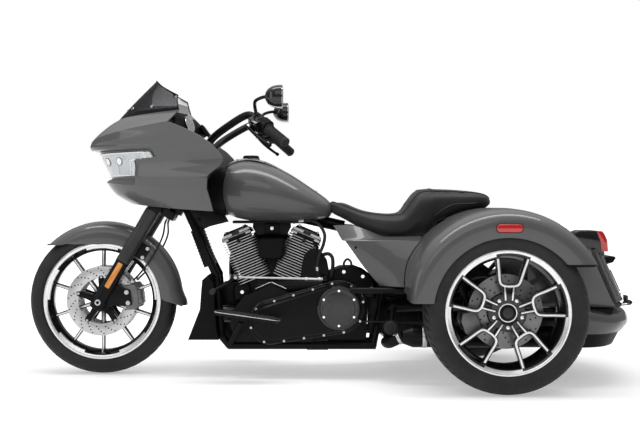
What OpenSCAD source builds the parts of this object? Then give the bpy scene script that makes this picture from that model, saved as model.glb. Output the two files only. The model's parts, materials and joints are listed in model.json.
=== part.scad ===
// Motorized trike: a V-twin touring motorcycle front end with a frame-mounted fairing,
// a solid rear axle with two wheels, and a luggage trunk between the rear fenders.
// Millimetres. +X points to the rear, +Y to the rider's right, +Z up.
// The origin is on the floor, midway along the length and the width.

/* [Overall] */
// Distance from the rear axle back to the end of the bumper
rear_overhang = 610.5; // [590:0.5:640]
// Distance between the front and rear axles
wheelbase = 1670; // [1650:5:1690]
// Gap between each side of the trunk and its rear tyre
trunk_tyre_gap = 22.5; // [20:0.5:30]
// Height of the frame's underside above the floor
ground_clearance = 112; // [104:1:120]

/* [Front wheel] */
// Outside diameter of the front tyre
front_tyre_d = 639; // [630:1:645]
// Width of the front tyre
front_tyre_w = 130; // [120:1:136]
// Height of the front tyre from the rim's flange to the tread
front_tyre_h = 65.5; // [62:0.5:70]
// Number of spokes in the front wheel
front_spokes = 10; // [8:1:12]
// Tangential width of a front spoke
front_spoke_w = 13; // [10:1:18]
// Diameter of a front brake disc
front_disc_d = 300; // [280:2:310]

/* [Rear wheels] */
// Outside diameter of a rear tyre
rear_tyre_d = 640; // [632:1:646]
// Width of a rear tyre
rear_tyre_w = 215; // [205:1:220]
// Height of a rear tyre from the rim's flange to the tread
rear_tyre_h = 77; // [72:0.5:82]
// Number of forked spokes in a rear wheel
rear_spokes = 5; // [4:1:6]
// Diameter of a rear brake disc as a share of the rim's
rear_disc_share = 0.62; // [0.58:0.01:0.63]

/* [Fork and handlebar] */
// Angle of the fork legs and of the steering axis from the vertical
fork_angle = 30.5; // [29:0.5:32]
// Distance from the steering axis forward to the fork legs
fork_offset = 76; // [70:1:80]
// Distance between the middle lines of the fork legs
fork_spread = 236; // [230:1:246]
// Diameter of a fork slider
fork_leg_d = 58; // [52:1:62]
// Diameter of the handlebar tube
bar_d = 32; // [25:1:34]
// Distance between the ends of the handlebar
bar_span = 900; // [870:5:920]

/* [Engine] */
// Distance of the crankshaft behind the front axle
crank_setback = 737; // [725:1:750]
// Height of the crankshaft
crank_z = 240; // [232:1:246]
// Angle between the two cylinders
vee_angle = 45; // [42:1:48]
// Radius of a cooling fin
fin_r = 74; // [68:1:76]
// Thickness of a cooling fin
fin_t = 3; // [2:0.5:4]
// Distance from one fin to the next
fin_pitch = 11.5; // [10:0.5:12]
// Number of fins on a cylinder barrel
fin_count = 13; // [11:1:13]

/* [Bodywork] */
// Thickness of the fairing, the trunk and the fenders
shell_t = 5; // [4:0.5:6]
// Width of the fairing at its widest
fairing_w = 844; // [820:2:860]
// Thickness of the windscreen
screen_t = 5; // [4:0.5:7]
// Width of the fuel tank
tank_w = 352; // [336:2:364]
// Width of the seat at its widest
seat_w = 400; // [380:2:410]
// Outside width of the trunk
trunk_w = 880; // [860:2:890]
// Diameter of a muffler
muffler_d = 88; // [80:1:92]

/* [Hidden] */
$fn = 64;

// Anchors that the sub-assemblies are placed from
overall_length = front_tyre_d / 2 + wheelbase + rear_overhang;
front_rim_d = front_tyre_d - 2 * front_tyre_h;
rear_rim_d = rear_tyre_d - 2 * rear_tyre_h;
rear_disc_d = rear_rim_d * rear_disc_share;
fx = -overall_length / 2 + front_tyre_d / 2;
fz = front_tyre_d / 2;
rx = fx + wheelbase;
rz = rear_tyre_d / 2;
rear_track = trunk_w + 2 * trunk_tyre_gap + rear_tyre_w;
ry = rear_track / 2;
ex = fx + crank_setback;
tail_x = overall_length / 2;

// Clearances
run_gap = 0.3;
seat_gap = 0.3;
move_gap = 6;

// Paint and finish colours
c_paint = "#5b5b5c";
c_black = "#151516";
c_satin = "#2a2a2b";
c_metal = "#b9b9b8";
c_rubber = "#1d1d1d";
c_lens = "#d9dadb";
c_red = "#b01010";
c_amber = "#d98a1c";
c_leather = "#202021";
c_glass = "#3a3b3d";

// Interpolation
function lerp(a, b, t) = a + (b - a) * t;
function unit(v) = v / norm(v);
function clamp01(t) = min(1, max(0, t));
function ease(t) = let (c = clamp01(t)) c * c * (3 - 2 * c);
function polar(r, a) = [r * cos(a), r * sin(a)];

// A smooth curve through the rows of a table, t from 0 to the number of rows less one
function spline(rows, t) =
  let (last = len(rows) - 1, i = min(floor(t), last - 1), f = t - i)
  let (a = rows[max(i - 1, 0)], b = rows[i], c = rows[i + 1], d = rows[min(i + 2, last)])
  0.5 * (2 * b + (c - a) * f + (2 * a - 5 * b + 4 * c - d) * f * f + (3 * b - a - 3 * c + d) * f * f * f);
function resample(rows, n) = [for (k = [0:n]) spline(rows, k * (len(rows) - 1) / n)];

// A rounded section in the YZ plane, n points, e from 0.3 (boxy) to 1 (elliptical)
function section(x, half_w, z_low, z_high, n, e) = [
  for (k = [0:n - 1])
    let (c = cos(360 * k / n), s = sin(360 * k / n))
    [x, half_w * sign(c) * pow(abs(c), e),
     (z_low + z_high) / 2 + (z_high - z_low) / 2 * sign(s) * pow(abs(s), e)]
];

// A closed solid through rings of points, capped at both ends
module loft(rings) {
  n = len(rings[0]);
  last = len(rings) - 1;
  sides = [
    for (i = [0:last - 1], k = [0:n - 1])
      let (a = i * n + k, b = i * n + (k + 1) % n, c = b + n, d = a + n)
      each [[a, d, c], [a, c, b]]
  ];
  front = [[for (k = [0:n - 1]) k]];
  back = [[for (k = [n - 1:-1:0]) last * n + k]];
  polyhedron(points = [for (r = rings) each r], faces = concat(sides, front, back), convexity = 6);
}

// A panel of thickness t behind a grid of surface points, whose outside is on the left of its columns
function grid_normal(g, i, j) =
  let (m = len(g) - 1, n = len(g[0]) - 1)
  unit(cross(g[min(i + 1, m)][j] - g[max(i - 1, 0)][j], g[i][min(j + 1, n)] - g[i][max(j - 1, 0)]));
module panel(g, t) {
  m = len(g);
  n = len(g[0]);
  inner = [for (i = [0:m - 1]) [for (j = [0:n - 1]) g[i][j] - t * grid_normal(g, i, j)]];
  s = m * n;
  outside = [
    for (i = [0:m - 2], j = [0:n - 2])
      let (a = i * n + j, b = a + 1, c = a + n + 1, d = a + n)
      each [[a, c, d], [a, b, c]]
  ];
  inside = [for (f = outside) [f[0] + s, f[2] + s, f[1] + s]];
  rim = concat(
    [for (j = [0:n - 2]) [j, j + 1]],
    [for (i = [0:m - 2]) [i * n + n - 1, (i + 1) * n + n - 1]],
    [for (j = [n - 2:-1:0]) [(m - 1) * n + j + 1, (m - 1) * n + j]],
    [for (i = [m - 2:-1:0]) [(i + 1) * n, i * n]]
  );
  edge = [for (r = rim) each [[r[1], r[0], r[0] + s], [r[1], r[0] + s, r[1] + s]]];
  polyhedron(points = concat([for (r = g) each r], [for (r = inner) each r]),
             faces = concat(outside, inside, edge), convexity = 6);
}

// A straight round bar between two points
function past(a, b, d) = b + unit(b - a) * d;
module rod(a, b, r) {
  d = b - a;
  translate(a) rotate([0, acos(d[2] / norm(d)), atan2(d[1], d[0])]) cylinder(r = r, h = norm(d));
}

// A round tube swept along points
function sweep_rings(path, r, sides) = [
  for (i = [0:len(path) - 1])
    let (t = unit(path[min(i + 1, len(path) - 1)] - path[max(i - 1, 0)]))
    let (ref = abs(t[1]) > 0.9 ? [0, 0, 1] : [0, 1, 0])
    let (a = unit(cross(t, ref)), b = cross(t, a))
    [for (k = [0:sides - 1]) path[i] + r * (a * cos(360 * k / sides) + b * sin(360 * k / sides))]
];
module sweep(path, r, sides = 12) loft(sweep_rings(path, r, sides));

// Places children on a wheel axis: local Z points to the rider's left, local X to the rear, local Y up
module on_axle(x, y, z) translate([x, y, z]) rotate([90, 0, 0]) children();
module both_sides() {
  children();
  mirror([0, 1, 0]) children();
}
// A flat bar between two points of the local XY plane
module bar_2d(a, b, wa, wb) {
  n = unit([a[1] - b[1], b[0] - a[0]]);
  polygon([a + n * wa / 2, b + n * wb / 2, b - n * wb / 2, a - n * wa / 2]);
}

// Steering axis, at fork_offset behind the fork legs and parallel to them
fork_dir = [sin(fork_angle), 0, cos(fork_angle)];
fork_ahead = [-cos(fork_angle), 0, sin(fork_angle)];
function on_fork(h, ahead = 0, y = 0) = [fx, y, fz] + fork_dir * h + fork_ahead * ahead;
function on_stem(h, y = 0) = on_fork(h, -fork_offset, y);
module along_fork(h, ahead, y) translate(on_fork(h, ahead, y)) rotate([0, fork_angle, 0]) children();

leg_y = fork_spread / 2;
lower_clamp_h = 470;
upper_clamp_h = 655;
clamp_t = 34;
stem_r = 16;
head_r = 30;
head_low_h = lower_clamp_h + clamp_t / 2 + 1;
head_high_h = upper_clamp_h - clamp_t / 2 - 1;

// Tyre section: [radius, half width] from the rim's well to the shoulder, mirrored across the middle
function tyre_half(rim_r, rim_w, r, w) = [
  [rim_r - 29.6, rim_w * 0.16 - 0.3], [rim_r - 18.6, rim_w / 2 - 30.4], [rim_r - 11.6, rim_w / 2 - 8.6],
  [rim_r + 0.7, rim_w / 2 - 0.4], [rim_r + 4, rim_w / 2 + 4], [lerp(rim_r, r, 0.4), w * 0.5],
  [lerp(rim_r, r, 0.68), w * 0.49], [lerp(rim_r, r, 0.86), w * 0.43]
];
module tyre(rim_d, rim_w, d, w, crown) {
  half = tyre_half(rim_d / 2, rim_w, d / 2, w);
  tread = [for (k = [-3:3]) [d / 2 - crown * pow(abs(k) / 3.6, 2), -k * w * 0.115]];
  outer = concat(half, tread, [for (i = [len(half) - 1:-1:0]) [half[i][0], -half[i][1]]]);
  rotate_extrude() polygon(outer);
}
// Rim barrel with a flange at each side and a well in the middle
function rim_profile(d, w) = let (r = d / 2) [
  [r, w / 2], [r - 6, w / 2 + 1], [r - 20, w / 2 - 4], [r - 26, w / 2 - 24], [r - 38, w * 0.18],
  [r - 38, -w * 0.18], [r - 26, 24 - w / 2], [r - 20, 4 - w / 2], [r - 6, -w / 2 - 1], [r, -w / 2],
  [r - 12, 8 - w / 2], [r - 19, 30 - w / 2], [r - 30, -w * 0.16],
  [r - 30, w * 0.16], [r - 19, w / 2 - 30], [r - 12, w / 2 - 8]
];

// Front wheel
front_axle_r = 12.5;
front_hub_r = 34;
front_hub_w = 116;
front_rim_w = front_tyre_w * 0.72 + 8;
front_disc_y = 68;
front_disc_t = 5;
module front_tyre() color(c_rubber) on_axle(fx, 0, fz) tyre(front_rim_d, front_rim_w, front_tyre_d,
    front_tyre_w, 13);
module front_rim() color(c_metal) on_axle(fx, 0, fz) {
  spoke_out = front_rim_d / 2 - 31;
  difference() {
    union() {
      rotate_extrude() polygon(rim_profile(front_rim_d, front_rim_w));
      translate([0, 0, -front_hub_w / 2]) cylinder(r = front_hub_r, h = front_hub_w);
      for (k = [0:front_spokes - 1]) rotate(90 + 360 / front_spokes * k)
        translate([0, 0, -18]) linear_extrude(36)
          bar_2d([front_hub_r - 6, 0], [spoke_out, 0], front_spoke_w * 1.5, front_spoke_w);
    }
    translate([0, 0, -front_hub_w]) cylinder(r = front_axle_r + run_gap, h = front_hub_w * 2);
  }
}
module brake_disc(d, bore, t, slots) difference() {
  cylinder(d = d, h = t, center = true);
  cylinder(r = bore, h = t * 3, center = true);
  for (k = [0:slots - 1]) rotate(360 / slots * (k + 0.5)) translate([d * 0.255, 0, 0])
    cylinder(r = d * 0.078, h = t * 3, center = true);
}
module front_discs() color(c_metal) on_axle(fx, 0, fz) for (side = [-1, 1]) {
  carrier_h = front_disc_y - front_hub_w / 2 - 0.3;
  translate([0, 0, side * front_disc_y]) brake_disc(front_disc_d, front_hub_r - 8, front_disc_t, 5);
  translate([0, 0, side * (front_disc_y - carrier_h / 2)]) difference() {
    cylinder(r = front_hub_r + 12, h = carrier_h, center = true);
    cylinder(r = front_hub_r - 8, h = 40, center = true);
  }
}
module front_axle() color(c_metal) on_axle(fx, 0, fz) difference() {
  cylinder(r = front_axle_r, h = fork_spread + fork_leg_d + 16, center = true);
  cylinder(r = 7, h = fork_spread + fork_leg_d + 40, center = true);
}

// Rear wheels: k is -1 for the rider's left and 1 for the right
rear_rim_w = rear_tyre_w * 0.84;
rear_face = rear_rim_w / 2;
rear_pcd = 114;
rear_shaft_r = 24;
rear_housing_end = ry - rear_rim_w / 2 - 18;
module on_rear_wheel(side) translate([rx, side * ry, rz]) rotate([side < 0 ? 90 : -90, 0, 0]) children();
module rear_tyre(side) color(c_rubber) on_rear_wheel(side) tyre(rear_rim_d, rear_rim_w, rear_tyre_d,
    rear_tyre_w, 12);
module forked_spoke() {
  arm_r = rear_rim_d / 2 - 30;
  bar_2d(polar(36, 0), polar(108, 0), 46, 34);
  for (a = [14, -20]) bar_2d(polar(94, a * 0.3), polar(arm_r, a), 19, 15);
}
module rear_rim(side) color(c_metal) on_rear_wheel(side) {
  difference() {
    union() {
      rotate_extrude() polygon(rim_profile(rear_rim_d, rear_rim_w));
      translate([0, 0, rear_face - 52]) linear_extrude(40) difference() {
        union() {
          circle(r = 74);
          for (k = [0:rear_spokes - 1]) rotate(90 + 360 / rear_spokes * k) forked_spoke();
        }
        for (k = [0:rear_spokes - 1]) rotate(90 + 360 / rear_spokes * k)
          bar_2d(polar(48, 0), polar(88, 0), 16, 12);
      }
    }
    translate([0, 0, rear_face - 90]) cylinder(r = 31, h = 120);
    for (k = [0:rear_spokes - 1]) rotate(270 + 360 / rear_spokes * k) translate([rear_pcd / 2, 0,
        rear_face - 90])
      cylinder(r = 9, h = 120);
  }
}
// Hub flange, half shaft, centre cap, lug nuts and brake disc, which turn with the wheel
module rear_hub(side) color(c_metal) on_rear_wheel(side) {
  seat_z = rear_face - 52 - seat_gap;
  translate([0, 0, seat_z - 22]) cylinder(r = 76, h = 22);
  translate([0, 0, -rear_rim_w / 2 - 90]) cylinder(r = rear_shaft_r, h =
      rear_rim_w / 2 + 90 + seat_z - 20);
  translate([0, 0, seat_z - 1]) cylinder(r = 30, h = 42);
  for (k = [0:rear_spokes - 1]) rotate(270 + 360 / rear_spokes * k) translate([rear_pcd / 2, 0,
      seat_z - 1])
    cylinder(r = 8.4, h = 30);
  translate([0, 0, seat_z - 30]) brake_disc(rear_disc_d, 60, 8, 0);
  translate([0, 0, seat_z - 30]) difference() {
    cylinder(r = 62, h = 14, center = true);
    cylinder(r = rear_shaft_r - 1, h = 20, center = true);
  }
}
module rear_tyre_left() rear_tyre(-1);
module rear_tyre_right() rear_tyre(1);
module rear_rim_left() rear_rim(-1);
module rear_rim_right() rear_rim(1);
module rear_hub_left() rear_hub(-1);
module rear_hub_right() rear_hub(1);

// Fork: sliders, upper covers and axle lugs
slider_top_h = 200;
cover_r = 31;
module fork_legs() color(c_satin) both_sides() difference() {
  union() {
    along_fork(-34, 0, leg_y) cylinder(d = fork_leg_d, h = slider_top_h + 34);
    along_fork(slider_top_h - 1, 0, leg_y) cylinder(r = cover_r, h =
        lower_clamp_h - clamp_t / 2 - slider_top_h + 0.7);
    on_axle(fx, leg_y, fz) cylinder(r = 30, h = fork_leg_d * 0.7, center = true);
    on_axle(fx, caliper_y + 11.5, fz) rotate(caliper_at) linear_extrude(22, center = true)
      polygon([[0, -14], [caliper_r - 24, -34], [caliper_r + 6, -34], [caliper_r + 6, 34], [80, 60],
          [30, 90], [0, 60]]);
  }
  on_axle(fx, leg_y, fz) cylinder(r = front_axle_r + 0.05, h = 120, center = true);
}
// Both clamps, the tubes between and above them, and the stem that turns in the steering head
module triple_clamps() color(c_black) {
  for (h = [lower_clamp_h, upper_clamp_h]) along_fork(h, -fork_offset / 2, 0) {
    translate([0, 0, -clamp_t / 2]) linear_extrude(clamp_t) {
      square([fork_offset + 24, 120], center = true);
      translate([-fork_offset / 2, 0])
        polygon([[-32, -100], [-32, 100], [-12, leg_y + 27], [32, leg_y + 27], [32, -leg_y - 27],
            [-12, -leg_y - 27]]);
    }
  }
  both_sides() along_fork(lower_clamp_h - 1, 0, leg_y)
    cylinder(r = cover_r - 6, h = upper_clamp_h - lower_clamp_h + 36);
  rod(on_stem(lower_clamp_h), on_stem(upper_clamp_h), stem_r);
}
module fork_reflectors() color(c_amber) both_sides()
  along_fork(134, 0, leg_y + fork_leg_d / 2 + 0.2) rotate([-90, 0, 0])
    linear_extrude(6) square([24, 124], center = true);
caliper_at = 8;
caliper_r = front_disc_d / 2 - 18;
caliper_y = front_disc_y + 31;
module front_calipers() color(c_satin) both_sides()
  on_axle(fx, front_disc_y, fz) rotate(caliper_at) translate([caliper_r, 0, 0]) difference() {
    linear_extrude(62, center = true) polygon([[-26, -52], [22, -56], [34, -30], [34, 30], [22, 56],
        [-26, 52]]);
    translate([-44, 0, 0]) linear_extrude(front_disc_t + 4, center = true) square([136, 130], center =
        true);
  }
// Fender over the front wheel: a channel swept round the axle
front_fender_r = front_tyre_d / 2 + 22;
front_fender_w = 158;
module front_fender() color(c_paint) {
  on_axle(fx + 6, 0, fz + 3) {
    r = front_fender_r;
    w = front_fender_w / 2;
    rotate(-2) rotate_extrude(angle = 138, $fn = 96) polygon([
      [r, 0], [r - 5, w * 0.5], [r - 22, w * 0.86], [r - 46, w], [r - 92, w],
      [r - 92, w - 4], [r - 48, w - 4], [r - 25, w * 0.83], [r - 9, w * 0.48], [r - 4, 0],
      [r - 9, -w * 0.48], [r - 25, -w * 0.83], [r - 48, 4 - w], [r - 92, 4 - w],
      [r - 92, -w], [r - 46, -w], [r - 22, -w * 0.86], [r - 5, -w * 0.5]
    ]);
  }
  stay_in = front_fender_w / 2 - 2;
  stay_out = leg_y - cover_r - seat_gap;
  both_sides() along_fork(front_fender_r - 65.5, -26, (stay_in + stay_out) / 2) cube([92,
      stay_out - stay_in, 70], center = true);
}
// Hose from the lower clamp to the caliper: [distance behind the fork, height along it from the
// clamp, distance from the middle]
hose_path = [[64, -17.8, 48], [65, -40, 50], [88, -90, 84], [96, -160, 92], [92, -240, 92],
    [84, -290, 90], [74, -326, 80]];
module brake_hoses() color(c_black) both_sides()
  sweep(resample([for (p = hose_path) on_fork(lower_clamp_h + p[1], -p[0], p[2])], 18), 4, 8);

// Handlebar: [distance behind the stem's top, height above it, distance from the middle as a share
// of the half span]
bar_rows = [[38, 84, 0], [40, 84, 0.14], [62, 128, 0.28], [100, 175, 0.43], [180, 230, 0.53],
    [242, 262, 0.6], [275, 256, 0.656]];
bar_end = [408, 142, 0.98];
bar_base = on_stem(upper_clamp_h);
function bar_point(row) = bar_base + [row[0], -row[2] * bar_span / 2, row[1]];
straight_from = bar_point(bar_rows[6]);
straight_to = bar_point(bar_end);
straight_len = norm(straight_to - straight_from);
straight_dir = unit(straight_to - straight_from);
function on_straight(d) = straight_from + straight_dir * d;
bar_left = concat(resample([for (r = bar_rows) bar_point(r)], 18),
    [on_straight(5), on_straight(straight_len)]);
function flip_y(p) = [p[0], -p[1], p[2]];
bar_line = concat([for (i = [len(bar_left) - 1:-1:1]) bar_left[i]], [for (p = bar_left) flip_y(p)]);
module handlebar() color(c_black) {
  sweep(bar_line, bar_d / 2, 12);
  both_sides() rod(on_stem(upper_clamp_h + clamp_t / 2 + seat_gap, 46),
      on_stem(upper_clamp_h + clamp_t / 2 + 76, 46), 18);
}
// A ring that clamps round the straight end of the bar, from one distance along it to another
bar_hole_r = bar_d / 2 + 0.8;
module bar_ring(d0, d1, r) difference() {
  rod(on_straight(d0), on_straight(d1), r);
  rod(on_straight(d0 - 3), on_straight(d1 + 3), bar_hole_r);
}
grip_r = 20;
module grips() color(c_rubber) both_sides() difference() {
  rod(on_straight(112), on_straight(straight_len + 8), grip_r);
  rod(on_straight(108), on_straight(straight_len + 0.6), bar_hole_r);
}
module hand_controls() color(c_black) both_sides() {
  bar_ring(62, 110, 31);
}
lever_off = [-44, -8, -22];
module hand_levers() color(c_black) both_sides() {
  bar_ring(34, 60, 25);
  rod(on_straight(47) + lever_off * 0.45, on_straight(47) + lever_off, 9);
  rod(on_straight(40) + lever_off, on_straight(straight_len - 20) + lever_off * 1.05, 7);
}
mirror_at = straight_from + [89, -125, 70.7];
module mirrors() color(c_black) both_sides() {
  bar_ring(8, 32, 25);
  sweep(resample([on_straight(20) + [0, 0, 22], on_straight(20) + [6, -8, 60], mirror_at + [-40, 40, 4],
      mirror_at + [-6, 10, 0]], 8), 7, 8);
  loft([for (k = [6:-1:0]) let (t = k / 6, s = sqrt(max(0.05, 1 - pow(t, 3) * 0.96)))
    [for (q = section(0, 72 * s, -46 * s, 46 * s, 24, 0.75)) mirror_at + [34 - 70 * t, q[1], q[2]]]]);
}

// Fairing rows from the lower edge up. Columns: distance of the middle point behind the front axle,
// its height above the axle, distance of the rear edge behind the axle, share of the half width there,
// its height above the axle, and how far the headlamp recess is set back
fairing_rows = [
  [114, 428.5, 512, 0.912, 389.5, 0], [54, 463.5, 502, 0.936, 430.5, 0], [12, 516.5, 488, 0.96, 480.5, 0],
  [-2, 530.5, 490, 0.976, 530.5, 38], [-46, 638.5, 540, 0.995, 573.5, 30], [-54, 650.5, 556, 1, 592.5, 0],
  [-60, 664.5, 552, 0.995, 616.5, 0], [-59, 670.5, 505, 0.965, 664.5, 0],
      [-58, 676.5, 430, 0.91, 712.5, 0],
  [-54, 683.5, 320, 0.794, 760.5, 0], [-26, 714.5, 336, 0.722, 781.5, 0],
      [20, 754.5, 348, 0.663, 799.5, 0],
  [64, 783.5, 358, 0.6, 813.5, 0]
];
fairing_power = 1.65;
lamp_row = 3;
lamp_edge_low = 0.6;
lamp_edge_high = 0.66;
fairing_steps = 14;
function fairing_point(row, u, edge) =
  let (a = abs(u), in_lamp = 1 - ease((a - edge + 0.04) / 0.07))
  let (x = lerp(row[2], row[0] + row[5] * in_lamp, 1 - pow(a, fairing_power)))
  [fx + x, u * row[3] * fairing_w / 2, fz + lerp(row[1], row[4], a)];
function lamp_edge(i) = i <= lamp_row ? lamp_edge_low : lamp_edge_high;
module fairing_shell() color(c_paint) panel([
  for (i = [0:len(fairing_rows) - 1])
    [for (k = [-fairing_steps:fairing_steps]) fairing_point(fairing_rows[i], k / fairing_steps,
        lamp_edge(i))]
], shell_t);
// Lens that fills the recess, with a wing on each side at its top
lens_t = 7;
lens_steps = 10;
lens_reach_low = 0.46;
lens_reach_high = 0.55;
lens_rows = [0.08, 0.25, 0.45, 0.62, 0.78, 0.92];
function offset_grid(g, d) =
    [for (i = [0:len(g) - 1]) [for (j = [0:len(g[0]) - 1]) g[i][j] + d * grid_normal(g, i, j)]];
lens_grid = [
  for (w = lens_rows) let (row = lerp(fairing_rows[lamp_row], fairing_rows[lamp_row + 1], w))
    [for (k = [-lens_steps:lens_steps])
      let (reach = lerp(lens_reach_low, lens_reach_high, ease((w - 0.4) / 0.25)))
      fairing_point(row, k / lens_steps * reach, 1)]
];
module headlamp() color(c_lens) panel(offset_grid(lens_grid, lens_t + 1.4), lens_t);
// Windscreen rows from the base up, with the columns of the fairing's rows
screen_rows = [[66, 783.9, 357, 0.596, 813.5, 0], [106, 830.5, 352, 0.57, 836.5, 0],
    [148, 874.5, 348, 0.53, 854.5, 0],
               [190, 916.5, 346, 0.485, 870.5, 0], [232, 958.5, 346, 0.43, 880.5, 0]];
screen_power = 2.1;
module windscreen() color(c_glass) panel([
  for (i = [0:len(screen_rows) - 1]) [for (k = [-14:14])
    let (u = k / 14, a = abs(u), row = screen_rows[i], f = i / (len(screen_rows) - 1))
    [fx + lerp(row[2], row[0], 1 - pow(a, lerp(fairing_power, screen_power, f))),
        u * row[3] * fairing_w / 2,
     fz + lerp(row[1], row[4], pow(a, lerp(1, 1.6, f)))]]
], screen_t);
// Inner fairing with the instrument cowl: rows from the top edge down, [x behind axle, height, half
// width, sweep]
dash_rows = [[350, 812.5, 244, 0.02], [376, 808.5, 240, 0.16], [412, 778.5, 236, 0.3],
    [452, 732.5, 228, 0.56], [448, 714.5, 224, 0.66],
             [404, 692.5, 224, 0.62]];
module dash() color(c_black) panel([
  for (i = [len(dash_rows) - 1:-1:0]) let (r = dash_rows[i]) [for (k = [8:-1:-8]) let (u = k / 8)
    [fx + r[0] - r[3] * abs(u) * r[2], u * r[2], fz + r[1] - 10 * u * u]]
], 6);

// Frame: joints of the tubes on the rider's right, mirrored
rail_r = 17;
rail_z = ground_clearance + rail_r;
rail_y = 80;
backbone_r = 26;
backbone_front = on_stem(lerp(head_low_h, head_high_h, 0.7)) + [head_r - 4, 0, 0];
backbone_rear = [ex + 315, 0, 640];
down_top = on_stem(lerp(head_low_h, head_high_h, 0.31)) + [16, 20, 0];
knee = [ex - 238, 78, 430];
toe = [ex - 214, rail_y, rail_z + 40];
front_corner = [ex - 180, rail_y, rail_z];
heel = [ex + 440, rail_y, rail_z];
post_top = [ex + 520, 66, 548];
seat_rail_bend = [ex + 420, 50, 574];
pivot_at = [ex + 520, 0, 300];
pivot_r = 18;
shock_top = [rx - 150, 250, 548];
trunk_front = rx + 112;
nose_mount = [fx + 46.6, 0, fz + 544.9];
board_at = [ex - 88, 310, 268];
board_lean = 8;
module on_board() translate(board_at) rotate([0, board_lean, 0]) children();
module frame() color(c_black) difference() {
  union() {
    rod(on_stem(head_low_h), on_stem(head_high_h), head_r);
    rod(backbone_front, backbone_rear, backbone_r);
    rod(on_stem((head_low_h + head_high_h) / 2), nose_mount, 16);
    rod([shock_top[0], -226, shock_top[2]], [shock_top[0], 226, shock_top[2]], 14);
    translate([ex + 200, 0, rail_z - 3]) cube([90, 2 * rail_y, 2 * rail_r], center = true);
    both_sides() {
      rod(down_top, past(down_top, knee, 7), rail_r);
      rod(past(toe, knee, 5), past(knee, toe, 4), rail_r - 0.6);
      rod(past(front_corner, toe, 6), past(toe, front_corner, 5), rail_r - 0.2);
      rod(past(heel, front_corner, 6), past(front_corner, heel, 12), rail_r);
      rod(past(post_top, heel, 5), past(heel, post_top, 12), rail_r - 1.4);
      rod([ex + 300, 16, 636], past([ex + 300, 16, 636], seat_rail_bend, 4), 14);
      rod(past(post_top, seat_rail_bend, 5), past(seat_rail_bend, post_top, 6), 13.4);
      rod(past([trunk_front, 90, 548], post_top, 9), [trunk_front - 1.3, 90, 548], 14.2);
      translate([pivot_at[0], 66, pivot_at[2]]) rotate([90, 0, 0]) linear_extrude(24, center = true)
        polygon([[-58, -40], [20, -30], [30, -8], [30, 12], [18, 30], [-58, 46]]);
      rod(front_corner, board_at + [-30, -38, -18], 11);
      on_board() translate([-30, -38, -10.3]) cube([50, 24, 20], center = true);
    }
  }
  rod(on_stem(head_low_h - 5), on_stem(head_high_h + 5), stem_r + run_gap);
  rod(pivot_at - [0, 120, 0], pivot_at + [0, 120, 0], pivot_r + 0.3);
}

// Engine: crankcase with the gearbox behind it and the cam cover on the right
case_w = 236;
case_floor = ground_clearance + 2 * rail_r + 0.4;
deck_h = 140;
lean = vee_angle / 2;
deck_out = [deck_h * sin(lean) + 66 * cos(lean), deck_h * cos(lean) - 66 * sin(lean)];
deck_peak = deck_h / cos(lean);
module crankcase() color(c_black) {
  translate([ex, 0, 0]) rotate([90, 0, 0]) linear_extrude(case_w, center = true)
    polygon([[-150, case_floor], [180, case_floor], [200, crank_z + 30],
        [deck_out[0], crank_z + deck_out[1]], [0, crank_z + deck_peak],
             [-deck_out[0], crank_z + deck_out[1]], [-168, crank_z + 40], [-176, crank_z - 20]]);
  translate([ex, 0, 0]) rotate([90, 0, 0]) linear_extrude(160, center = true)
    polygon([[170, case_floor + 6], [410, case_floor + 6], [418, 330], [370, 392], [230, 392],
        [170, 350]]);
  translate([ex, case_w / 2 - 1, 0]) rotate([-90, 0, 0]) linear_extrude(47) {
    translate([20, -crank_z + 6]) circle(r = 100);
    polygon([[-90, -crank_z - 76], [96, -crank_z - 76], [112, -crank_z + 60], [-84, -crank_z + 60]]);
  }
}
barrel_low = deck_h + seat_gap;
fin_low = 190;
head_low = fin_low + fin_count * fin_pitch;
head_h = 44;
rocker_h = 38;
module on_cylinder(k) translate([ex, 0, crank_z]) rotate([0, k * lean, 0]) children();
// Finned barrels, finned heads and two-step rocker boxes
module cylinders() color(c_black) for (k = [-1, 1]) on_cylinder(k) {
  translate([0, 0, barrel_low]) cylinder(r = 56, h = head_low - barrel_low);
  for (i = [0:fin_count - 1]) translate([0, 0, fin_low + i * fin_pitch]) cylinder(r = fin_r, h = fin_t);
  translate([0, 0, head_low - 1]) linear_extrude(head_h + 2) square([112, 132], center = true);
  for (i = [0:3]) translate([0, 0, head_low + i * fin_pitch]) linear_extrude(fin_t) square([144, 150],
      center = true);
  translate([0, 0, head_low + head_h]) linear_extrude(rocker_h * 0.5) square([138, 166], center = true);
  translate([0, 0,
      head_low + head_h + rocker_h * 0.5 - 1]) linear_extrude(rocker_h * 0.5 + 1) square([112, 146],
      center = true);
}
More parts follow.
